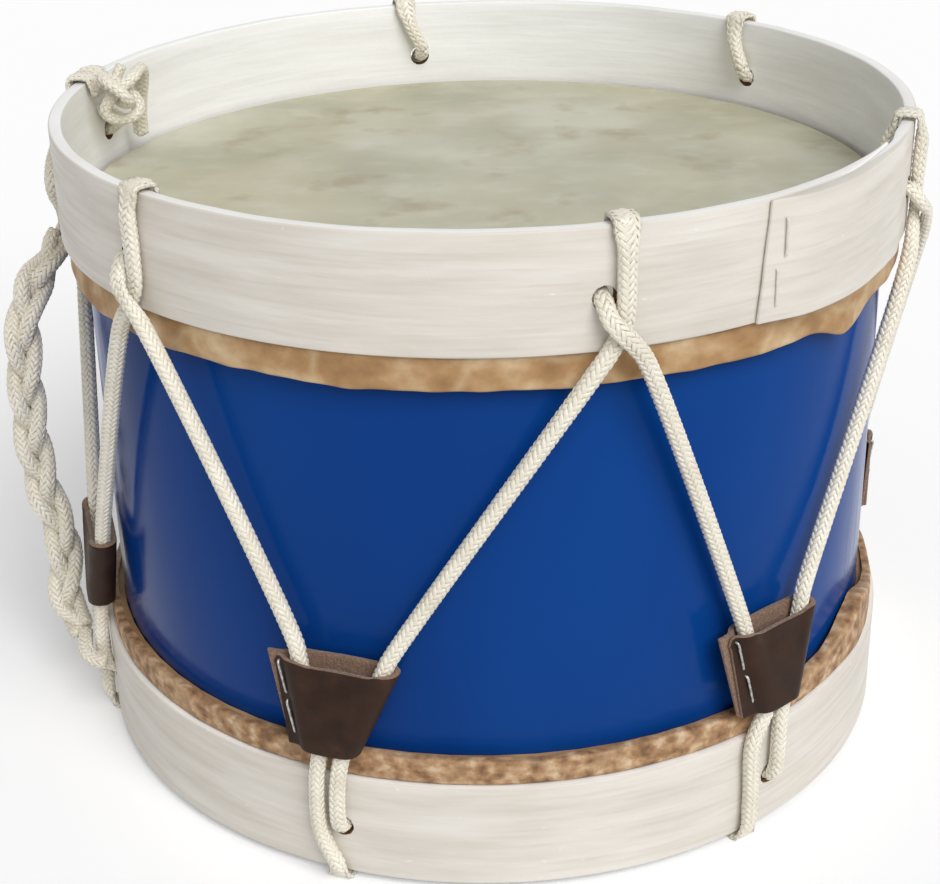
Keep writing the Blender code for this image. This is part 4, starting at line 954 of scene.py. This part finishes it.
# %% Heads
def head(name, node, slot, face_z, down, ring_height, skins, seed, slack_fold):
    slack_at, slack_width, slack_drop = slack_fold  # azimuth and half width in degrees, metres
    fold = HOOP_HEIGHT - HEAD_RECESS + CLEARANCE
    under = fold + ring_height
    skin = SKIN_THICKNESS
    tuck = RING_RADIUS - SKIN_TUCK
    outside = rounded(
        [
            (SKIN_ON_SHELL - 0.006, 0, 0),
            (SKIN_ON_SHELL, 0, BEARING_EDGE_RADIUS),
            (SKIN_ON_SHELL, fold, 0),
            (RING_RADIUS, fold, 0.0012),
            (RING_RADIUS, under, 0.0012),
            (tuck, under, 0),
        ]
    )
    inside = rounded(
        [
            (tuck, under - skin, 0),
            (RING_RADIUS - skin, under - skin, 0.0006),
            (RING_RADIUS - skin, fold + skin, 0.0006),
            (SHELL_RADIUS + CLEARANCE, fold + skin, 0),
            (SHELL_RADIUS + CLEARANCE, skin, BEARING_EDGE_RADIUS * 0.8),
            (SHELL_RADIUS - 0.006, skin, 0),
        ]
    )
    disc = [(0.004, 0.0)] + [(r / 1000, 0.0) for r in range(12, 129, 9)]
    back = [(r / 1000, skin) for r in range(120, 11, -12)] + [(0.004, skin)]
    outline = disc + spaced(outside, 0.0011) + inside + back
    outline = [(radius, face_z - down * depth) for radius, depth in outline]
    made = turned(name, outline, 384)
    places = points_of(made)
    radius = np.hypot(places[:, 0], places[:, 1])
    azimuth = np.arctan2(places[:, 1], places[:, 0])
    depth = (face_z - places[:, 2]) * down
    lots = np.random.default_rng(seed)
    wave, ripple = np.zeros(len(places)), np.zeros(len(places))
    for count, size in ((5, 0.22), (11, 0.16), (23, 0.12), (41, 0.09), (67, 0.07)):
        phase, lean = lots.uniform(0, 2 * pi), lots.uniform(-200, 200)
        wave += size * np.sin(count * azimuth + phase + lean * depth)
        ripple += size * np.sin((count + 3) * azimuth + lots.uniform(0, 2 * pi))
    on_ring = np.clip((radius - RING_RADIUS + 0.0040) / 0.0008, 0, 1) * np.clip((depth - fold + 0.0002) / 0.001, 0, 1)
    places[:, :2] *= (1 + (on_ring * (wave * 0.0007 - 0.0001)) / np.maximum(radius, 0.01))[:, None]
    low = on_ring * np.clip((depth - fold) / ring_height, 0, 1) ** 2
    places[:, 2] -= down * low * ripple * 0.0013
    slack = np.exp(-(((np.degrees(azimuth) % 360 - slack_at) / slack_width) ** 2))
    places[:, 2] -= down * low * slack * slack_drop
    tucked = (radius < RING_RADIUS - 0.0016) & (depth > fold + 0.6 * ring_height)
    outward = np.where(tucked, -0.0019, 0.0011)
    places[:, :2] *= (1 + on_ring * slack * outward / np.maximum(radius, 0.01))[:, None]
    face = (radius < SKIN_ON_SHELL - 0.004) & (depth < skin * 2)
    swell = np.sin(azimuth * 3 + 20 * radius) + np.sin(azimuth * 5 - 31 * radius + 1.0)
    places[:, 2] += face * 0.00012 * swell * np.minimum(1, radius / 0.03)
    move_points(made, places)
    bpy.ops.object.shade_smooth_by_angle(angle=radians(50))
    stands_for(made, node, slot, *skins)
    for polygon in made.data.polygons:
        lies = Vector(polygon.center)
        polygon.material_index = 1 if lies.xy.length > SKIN_ON_SHELL - 0.001 and (face_z - lies.z) * down > 0.003 else 0
    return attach(made, "drum")


head("played_head", "top_skin", "top_head_skin", TOP_HEAD_Z, 1, TOP_RING_HEIGHT, (played_skin, top_lap_skin), 5, (321, 5, 0.0055))
head(
    "hairy_head",
    "bottom_skin",
    "bottom_head_skin",
    BOTTOM_HEAD_Z,
    -1,
    BOTTOM_RING_HEIGHT,
    (played_skin, bottom_lap_skin),
    9,
    (334, 9, 0.0085),
)

# %% [markdown]
# ## The counterhoops
# A counterhoop is one strip of ash, steamed and bent until its ends lap, then stapled and
# painted white with a coarse brush. It is made the same way here: a flat grid is the
# strip's inner face, its points are carried round the drum along a line that climbs over
# the lap, Solidify gives it the wood's thickness, thinner at the skived ends, and Bevel
# wears its edges. The holes are bored last, each with a slightly ragged cutter, and the
# faces inside them get the raw wood.

# %% White brushed paint and raw wood
white_paint, tree, shader = new_finish("white paint brushed on ash", 0.5)
bristles = grain(tree, (0.05, 0.05, 1), 0.0016, 4.0)
wood_rays = grain(tree, (0.12, 0.12, 1), 0.006, 4.0)
patches = grain(tree, (1, 1, 1.5), 0.03, 3.0)
flecks = grain(tree, (0.5, 0.5, 1), 0.0022, 2.0)
outer = shades(tree, wood_rays, [(0.32, "#D0CAC0"), (0.5, "#D9D3CA"), (0.7, "#E1DCD4")])
outer = blended(tree, ranged(tree, bristles, 0.0, 0.35, 0.5, 0.7), outer, "#C4BBAD")
outer = blended(tree, ranged(tree, patches, 0.0, 0.2, 0.5, 0.75), outer, "#CDBFA8")
# Painted light: the hoops' inner faces get a lighter paint than their outer faces, standing in for the brighter light
# that falls on the inside of the hoops.
inner = shades(tree, wood_rays, [(0.32, "#EBEAE7"), (0.7, "#F6F6F4")])
where = add_node(tree, "ShaderNodeTexCoord").outputs["Object"]
level_off = add_node(tree, "ShaderNodeVectorMath", {"operation": "MULTIPLY"}, {0: where})
level_off.inputs[1].default_value = (1, 1, 0)
from_axis = add_node(tree, "ShaderNodeVectorMath", {"operation": "LENGTH"}, {0: level_off.outputs[0]}).outputs["Value"]
# Mask that switches from the lighter inner paint (painted light) to the outer paint near the outer face.
outside = ranged(tree, from_axis, 0.0, 1.0, HOOP_OUTER - 0.0008, HOOP_OUTER - 0.0002)
base = blended(tree, outside, inner, outer)
base = blended(tree, ranged(tree, flecks, 0.0, 0.5, 0.72, 0.8), base, "#F7F6F3")
tree.links.new(base, shader.inputs["Base Color"])
tree.links.new(ranged(tree, bristles, 0.4, 0.6), shader.inputs["Roughness"])
raised(tree, shader, [(wood_rays, 0.5, 0.0005), (bristles, 0.45, 0.0003), (flecks, 0.2, 0.0003)])
shader.inputs["Specular IOR Level"].default_value = 0.4
raw_wood, tree, shader = new_finish("raw wood in the bored holes", 0.85)
splinters = grain(tree, (0.3, 0.3, 1), 0.001, 5.0)
tree.links.new(shades(tree, splinters, [(0.3, "#5F4026"), (0.6, "#93704A")]), shader.inputs["Base Color"])
raised(tree, shader, [(splinters, 0.8, 0.0004)])
print("finishes:", white_paint.name, "/", raw_wood.name)


# %% Bent strip
END_SLANT = 0.0034  # how far the outer end leans over the hoop's height


def counterhoop(name, node, foot_z, seam, azimuths, hole_z, seed):
    once_round = 2 * pi * HOOP_INNER
    length = once_round + LAP_LENGTH
    columns, levels = 420, 6
    deselect()
    bpy.ops.mesh.primitive_grid_add(x_subdivisions=columns, y_subdivisions=levels, size=1)
    made = bpy.context.object
    made.name = name
    flat = points_of(made)
    lots = np.random.default_rng(seed)
    group = made.vertex_groups.new(name="thickness")
    placed = np.empty_like(flat)
    start = seam + degrees(LAP_LENGTH / HOOP_INNER)
    wobble = [(lots.uniform(0, 2 * pi), count) for count in (3, 7, 13, 29)]
    rows_of = {}
    for index, (x, y, _) in enumerate(flat):
        travelled = length * (x + 0.5)
        rows_of.setdefault(round(wood_thickness(travelled) / HOOP_THICKNESS, 4), []).append(index)
        slant = END_SLANT * (0.25 - y) * share(travelled, length - 0.02, length)
        azimuth = start - degrees((travelled + slant) / HOOP_INNER)
        sway = sum(0.00005 * sin(phase + count * travelled / HOOP_INNER) for phase, count in wobble)
        height = HOOP_HEIGHT * (y + 0.5)
        height += sway * (1 if y > 0.49 else 0)
        placed[index] = at(azimuth, HOOP_INNER + wood_lift(travelled), foot_z + height)
    ragged = np.abs(flat[:, 0] - 0.5) < 1e-6
    placed[ragged, :2] += lots.uniform(-0.0002, 0.0002, (int(ragged.sum()), 2))
    for weight, indices in rows_of.items():
        group.add(indices, weight, "REPLACE")
    move_points(made, placed)
    only(made)
    bpy.ops.object.mode_set(mode="EDIT")
    bpy.ops.mesh.select_all(action="SELECT")
    bpy.ops.mesh.normals_make_consistent(inside=False)
    bpy.ops.object.mode_set(mode="OBJECT")
    middle = made.data.polygons[len(made.data.polygons) // 2]
    if middle.normal.dot(Vector((*Vector(middle.center).xy, 0))) < 0:
        bpy.ops.object.mode_set(mode="EDIT")
        bpy.ops.mesh.flip_normals()
        bpy.ops.object.mode_set(mode="OBJECT")
    with_modifier(
        made, "SOLIDIFY", thickness=HOOP_THICKNESS, offset=1.0, vertex_group="thickness", thickness_vertex_group=0.0
    )
    with_modifier(made, "BEVEL", width=HOOP_EDGE_ROUND, segments=3, limit_method="ANGLE", angle_limit=radians(50))
    deselect()
    cutters = []
    for azimuth in azimuths:
        bpy.ops.mesh.primitive_cylinder_add(
            vertices=28,
            radius=HOLE_RADIUS,
            depth=0.03,
            location=at(azimuth, HOOP_INNER + HOOP_THICKNESS / 2, hole_z),
            rotation=(0, pi / 2, radians(azimuth)),
        )
        cutter = bpy.context.object
        edge = points_of(cutter)
        edge[:, :2] *= 1 + lots.uniform(-0.03, 0.07, (len(edge), 1))
        move_points(cutter, edge)
        cutters.append(rests_at_origin(cutter))
        deselect()
    for cutter in cutters:
        cutter.select_set(True)
    bpy.context.view_layer.objects.active = cutters[0]
    bpy.ops.object.join()
    borer = bpy.context.object
    with_modifier(made, "BOOLEAN", operation="DIFFERENCE", object=borer, solver="EXACT")
    bpy.data.objects.remove(borer)
    stands_for(made, node, "hoop_paint", white_paint, raw_wood)
    for polygon in made.data.polygons:
        lies = Vector(polygon.center)
        for azimuth in azimuths:
            line = at(azimuth, 1, 0)
            off = lies - at(azimuth, lies.xy.length, hole_z)
            if off.length < HOLE_RADIUS * 1.2 and abs(Vector(polygon.normal).dot(line)) < 0.5:
                polygon.material_index = 1
                break
    only(made)
    bpy.ops.object.shade_smooth_by_angle(angle=radians(32))
    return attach(made, "drum")


counterhoop("top_hoop", "top_counterhoop", TOP_HOOP_BOTTOM_Z, TOP_SEAM_AZIMUTH, TOP_HOLE_AZIMUTHS, TOP_HOLE_Z, 3)
counterhoop(
    "bottom_hoop", "bottom_counterhoop", BOTTOM_RIM_Z, BOTTOM_SEAM_AZIMUTH, BOTTOM_HOLE_AZIMUTHS, BOTTOM_HOLE_Z, 4
)

# %% [markdown]
# ## Staples
# Every lap and every tightener is held by wire staples. A staple is one wire: its leg is
# a small circle extruded up, a spin bends it over, an extrusion makes the crown, and the
# other half is a mirror of the first. It is modelled once and copied sixteen times. On the
# hoops the staples were painted over with the wood.

# %% Staple wire
staple_wire, tree, shader = new_finish("galvanised staple wire", 0.34, 0.85)
scuffs = grain(tree, (1, 1, 1), 0.0012, 3.0)
tree.links.new(shades(tree, scuffs, [(0.35, "#8E8E8B"), (0.65, "#C4C4C1")]), shader.inputs["Base Color"])
tree.links.new(ranged(tree, scuffs, 0.25, 0.5), shader.inputs["Roughness"])
painted_wire, tree, shader = new_finish("staple wire painted over with the hoop", 0.45)
chips = grain(tree, (1, 1, 1), 0.002, 2.0)
tree.links.new(shades(tree, chips, [(0.5, "#D9D4CC"), (0.75, "#C9C3B9")]), shader.inputs["Base Color"])


# %% Staple model
def staple_model(leg_length):
    """A staple with its crown along x at the origin and its legs down z."""
    half, bend, wire = STAPLE_CROWN / 2, 0.0009, STAPLE_WIRE / 2
    deselect()
    bpy.ops.mesh.primitive_circle_add(
        vertices=10, radius=wire, fill_type="NGON", location=(half, 0, -leg_length), rotation=(0, 0, 0)
    )
    made = rests_at_origin(bpy.context.object)
    bpy.ops.object.mode_set(mode="EDIT")
    bpy.ops.mesh.select_all(action="SELECT")
    bpy.ops.mesh.extrude_region_move(TRANSFORM_OT_translate={"value": (0, 0, leg_length - bend)})
    bpy.ops.mesh.spin(steps=4, angle=pi / 2, center=(half - bend, 0, -bend), axis=(0, 1, 0))
    bpy.ops.mesh.extrude_region_move(TRANSFORM_OT_translate={"value": (-(half - bend), 0, 0)})
    bpy.ops.mesh.delete(type="FACE")
    bpy.ops.object.mode_set(mode="OBJECT")
    places = points_of(made)
    print("staple half: x", places[:, 0].min().round(5), places[:, 0].max().round(5), "z top", places[:, 2].max().round(5))
    with_modifier(made, "MIRROR", use_axis=(True, False, False), use_clip=True, merge_threshold=0.0001)
    bpy.ops.object.mode_set(mode="EDIT")
    bpy.ops.mesh.select_all(action="SELECT")
    bpy.ops.mesh.normals_make_consistent(inside=False)
    bpy.ops.object.mode_set(mode="OBJECT")
    bpy.ops.object.shade_smooth_by_angle(angle=radians(50))
    return made


def placed_staple(model, name, node, middle, crown, legs, body, finish):
    """A copy of a staple model with its crown and legs along two directions."""
    made = model.copy()
    made.data = model.data.copy()
    made.name = name
    bpy.context.scene.collection.objects.link(made)
    down = Vector(legs).normalized()
    along = (Vector(crown) - Vector(crown).dot(down) * down).normalized()
    turned_so = Matrix((along, along.cross(down), -down)).transposed().to_4x4()
    made.data.transform(Matrix.Translation(middle) @ turned_so)
    stands_for(made, node, "staple_wire", finish)
    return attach(made, body)


hoop_staple = staple_model(2 * HOOP_THICKNESS)
for hoop, foot_z, seam in (("top", TOP_HOOP_BOTTOM_Z, TOP_SEAM_AZIMUTH), ("bottom", BOTTOM_RIM_Z, BOTTOM_SEAM_AZIMUTH)):
    for number, (past_seam, rise) in enumerate(HOOP_STAPLES, 1):
        azimuth = seam + turn(past_seam, HOOP_OUTER)
        radius = hoop_face(azimuth, seam) + CLEARANCE + STAPLE_WIRE / 2
        placed_staple(
            hoop_staple,
            f"{hoop}_lap_staple_{number}",
            f"{hoop}_hoop_staple_{number}",
            at(azimuth, radius, foot_z + rise),
            (0, 0, 1),
            -at(azimuth, 1, 0),
            "drum",
            painted_wire,
        )
bpy.data.objects.remove(hoop_staple)

# %% [markdown]
# ## The leather tighteners
# A tightener is a tapered piece of dark leather, folded round both legs of a lacing bay
# and stapled where its two ends meet. The smooth side is out; the cut edges and the inside
# are paler suede. A flat grid is folded along the sleeve's section at each level, the
# front sags a little between the two legs, Solidify gives the leather its thickness with
# suede on its inner and cut faces, and Bevel softens the edges. No two bays are laced
# alike, so each sleeve is folded to its own two legs.

# %% Leather and suede
leather, tree, shader = new_finish("dark brown smooth leather", 0.5)
pores = add_node(tree, "ShaderNodeTexVoronoi", {"Scale": 1500.0}, {"Vector": add_node(tree, "ShaderNodeTexCoord").outputs["Object"]})
dull = grain(tree, (1, 1, 1), 0.009, 4.0)
base = shades(tree, dull, [(0.3, "#2B1C15"), (0.6, "#38271E"), (0.8, "#4A352A")])
tree.links.new(base, shader.inputs["Base Color"])
tree.links.new(ranged(tree, dull, 0.42, 0.62), shader.inputs["Roughness"])
raised(tree, shader, [(pores.outputs["Distance"], 0.25, 0.0002), (dull, 0.3, 0.0005)])
shader.inputs["Specular IOR Level"].default_value = 0.12
suede, tree, shader = new_finish("suede of the cut edges and the inside", 0.9)
nap = grain(tree, (1, 1, 1), 0.0007, 4.0)
tree.links.new(shades(tree, nap, [(0.3, "#664C3C"), (0.7, "#957862")]), shader.inputs["Base Color"])
raised(tree, shader, [(nap, 0.8, 0.0004)])
shader.inputs["Sheen Weight"].default_value = 0.25
print("finishes:", leather.name, "/", suede.name, "/", staple_wire.name)


# %% Sleeve section
def leg_slope(bay, side):
    return atan2(abs(LEGS_AT_TOP[bay][side] - LEGS_AT_FOOT[side]), TIGHTENER_HEIGHT)


def edge_across(bay, level):
    """Where the front ply's free edge runs across the sleeve."""
    return EDGES_AT_FOOT[bay] + (LEGS_AT_TOP[bay][0] - EDGE_PAST_LEG - EDGES_AT_FOOT[bay]) * level


def sleeve_section(bay, level):
    """The leather's middle line round both legs, from the front's free edge to the back's."""
    left, right = (leg_across(bay, side, level) for side in (0, 1))
    edge = edge_across(bay, level)
    flap = FLAP[0] + (FLAP[1] - FLAP[0]) * level
    around = CORD_RADIUS + CLEARANCE + LEATHER_THICKNESS / 2
    pinched = (LEATHER_THICKNESS + CLEARANCE) / 2
    reach, far_reach = around / cos(leg_slope(bay, 0)), around / cos(leg_slope(bay, 1))
    front = [
        (edge, pinched * THINNED_EDGE),
        (left - reach * 1.25, pinched),
        (left - reach * 0.72, around * 0.88),
        (left, around),
        (right, around),
    ]
    fold = []
    for step in range(1, 16):
        angle = pi / 2 - pi * step / 16
        fold.append((right + far_reach * 1.03 * cos(angle), around * 1.03 * sin(angle)))
    back = [(across, -away) for across, away in reversed(front)]
    back[-1] = (edge - flap, -pinched * THINNED_EDGE)
    return front + fold + back


def resampled(line, count, passes):
    """A polyline with evenly spaced points, its corners softened and its ends kept."""
    line = np.array(line)
    length = np.concatenate([[0], np.cumsum(np.linalg.norm(np.diff(line, axis=0), axis=1))])
    even = np.linspace(0, length[-1], count)
    line = np.column_stack([np.interp(even, length, column) for column in line.T])
    for _ in range(passes):
        line[1:-1] = 0.5 * line[1:-1] + 0.25 * (line[:-2] + line[2:])
    return line


# %% One sleeve
ACROSS, UP = 72, 22


def leather_sleeve(bay):
    deselect()
    bpy.ops.mesh.primitive_grid_add(x_subdivisions=ACROSS, y_subdivisions=UP, size=1)
    sleeve = bpy.context.object
    sleeve.name = f"leather_{bay + 1}"
    flat = points_of(sleeve)
    folded = np.empty_like(flat)
    group = sleeve.vertex_groups.new(name="thickness")
    sections = {}
    for index, (x, y, _) in enumerate(flat):
        level = round(y + 0.5, 6)
        if level not in sections:
            sections[level] = resampled(sleeve_section(bay, level), ACROSS + 1, 2)
        column = int(round((x + 0.5) * ACROSS))
        across, away = sections[level][column]
        left, right = (leg_across(bay, side, level) for side in (0, 1))
        between = share(across, left, left + 0.004) * (1 - share(across, right - 0.004, right))
        height = TIGHTENER_HEIGHT * level
        if away > 0:
            away -= 0.0007 * between * share(level, 0.4, 1.0)
            height -= 0.0013 * between * share(level, 0.7, 1.0)
            short = max(0.0, 1 - (across - edge_across(bay, level)) / CORNER_ROUND)
            height -= CORNER_ROUND * (1 - (1 - min(1.0, short) ** 2) ** 0.5) * share(level, 0.85, 1.0)
        height += 0.00012 * sin(across * 260 + 1.0 + bay) * share(level, 0.85, 1.0)
        height -= 0.00012 * sin(across * 300 + 2.2 + bay) * (1 - share(level, 0.0, 0.15))
        folded[index] = (away - sleeve_lean(height), across, height)
        from_edge = min(column, ACROSS - column)
        group.add([index], THINNED_EDGE + (1 - THINNED_EDGE) * share(from_edge, 0, 9), "REPLACE")
    move_points(sleeve, folded)
    sleeve.data.materials.append(leather)
    sleeve.data.materials.append(suede)
    only(sleeve)
    bpy.ops.object.mode_set(mode="EDIT")
    bpy.ops.mesh.select_all(action="SELECT")
    bpy.ops.mesh.normals_make_consistent(inside=False)
    bpy.ops.object.mode_set(mode="OBJECT")
    in_front = Vector((0.0046, 0, TIGHTENER_HEIGHT / 2))
    front_face = min(sleeve.data.polygons, key=lambda face: (Vector(face.center) - in_front).length)
    if front_face.normal.x < 0:
        bpy.ops.object.mode_set(mode="EDIT")
        bpy.ops.mesh.flip_normals()
        bpy.ops.object.mode_set(mode="OBJECT")
    with_modifier(
        sleeve,
        "SOLIDIFY",
        thickness=LEATHER_THICKNESS,
        offset=0.0,
        use_even_offset=True,
        vertex_group="thickness",
        thickness_vertex_group=0.0,
        material_offset=1,
        material_offset_rim=1,
    )
    with_modifier(sleeve, "BEVEL", width=0.0003, segments=2, limit_method="ANGLE", angle_limit=radians(50))
    bpy.ops.object.shade_smooth_by_angle(angle=radians(50))
    return sleeve


# %% Six tighteners with their staples
outside = LEATHER_THICKNESS + CLEARANCE / 2 + CLEARANCE + STAPLE_WIRE / 2
leather_staple = staple_model(2 * outside)
for bay, azimuth in enumerate(BOTTOM_HOLE_AZIMUTHS):
    body = f"tightener_{bay + 1}"
    place = Matrix.Translation(at(azimuth, TIGHTENER_RADIUS, TIGHTENER_Z)) @ Matrix.Rotation(radians(azimuth), 4, "Z")
    made = leather_sleeve(bay)
    made.data.transform(place)
    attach(stands_for(made, body, "dark_leather"), body)
    for number, level in enumerate(TIGHTENER_STAPLES, 1):
        reach = (CORD_RADIUS + CLEARANCE + LEATHER_THICKNESS / 2) / cos(leg_slope(bay, 0))
        across = leg_across(bay, 0, level) - reach * 1.25 - STAPLE_SET_IN
        middle = Vector((outside - 0.0003, across, TIGHTENER_HEIGHT * level))
        middle.x -= sleeve_lean(middle.z)
        lean = Vector((-TIGHTENER_LEAN, LEGS_AT_TOP[bay][0] - LEGS_AT_FOOT[0], TIGHTENER_HEIGHT))
        turn_only = place.to_3x3()
        placed_staple(
            leather_staple,
            f"leather_{bay + 1}_staple_{number}",
            f"{body}_staple_{number}",
            place @ middle,
            turn_only @ lean,
            turn_only @ Vector((-1, 0, 0)),
            body,
            staple_wire,
        )
bpy.data.objects.remove(leather_staple)

# %% [markdown]
# ## Floor and light
# The photograph has soft window light from the front right and a plain white ground. A
# pale floor keeps the drum's shadow, an even sky fills the shade, and a very soft sun
# stands for the window, because it lights the whole floor alike. At this level a colour
# renders about as it is written. Floor and sky are lifted to white only where they are
# looked at, straight or in a reflection, and that lift throws no light on the drum.

# %% Floor, sky and sun
SKY_STRENGTH, SUN_STRENGTH, SUN_FROM, FLOOR_LIFT = 0.4, 2.35, (0.5, -1.0, 1.05), 0.17


def looked_at(tree):
    """1 for what the camera sees, straight or in a reflection, and 0 for light on the drum."""
    rays = add_node(tree, "ShaderNodeLightPath").outputs
    seen = rays["Is Camera Ray"]
    for kind in ("Is Glossy Ray", "Is Transmission Ray"):
        seen = add_node(tree, "ShaderNodeMath", {"operation": "MAXIMUM"}, {0: seen, 1: rays[kind]}).outputs[0]
    return seen


deselect()
bpy.ops.mesh.primitive_plane_add(size=30, location=(0, 0, 0))
floor = bpy.context.object
floor.name = "floor"
floor_finish, tree, shader = new_finish("pale floor", 0.9)
shader.inputs["Base Color"].default_value = colour("#F2F2F2")
shader.inputs["Specular IOR Level"].default_value = 0.0
shader.inputs["Emission Color"].default_value = (1, 1, 1, 1)
lift = ranged(tree, looked_at(tree), 0.0, FLOOR_LIFT, 0.0, 1.0)
tree.links.new(lift, shader.inputs["Emission Strength"])
floor.data.materials.append(floor_finish)

world = bpy.data.worlds.new("soft studio")
bpy.context.scene.world = world
world.use_nodes = True
world.node_tree.nodes["Background"].inputs["Color"].default_value = (1, 1, 1, 1)
strength = ranged(world.node_tree, looked_at(world.node_tree), SKY_STRENGTH, 1.0, 0.0, 1.0)
world.node_tree.links.new(strength, world.node_tree.nodes["Background"].inputs["Strength"])

sun_data = bpy.data.lights.new("window", "SUN")
sun_data.energy = SUN_STRENGTH
sun_data.angle = radians(40)
sun = bpy.data.objects.new("window", sun_data)
bpy.context.scene.collection.objects.link(sun)
sun.location = SUN_FROM
sun.rotation_euler = (-Vector(SUN_FROM)).to_track_quat("-Z", "Y").to_euler()
print("floor, sky and one soft sun")

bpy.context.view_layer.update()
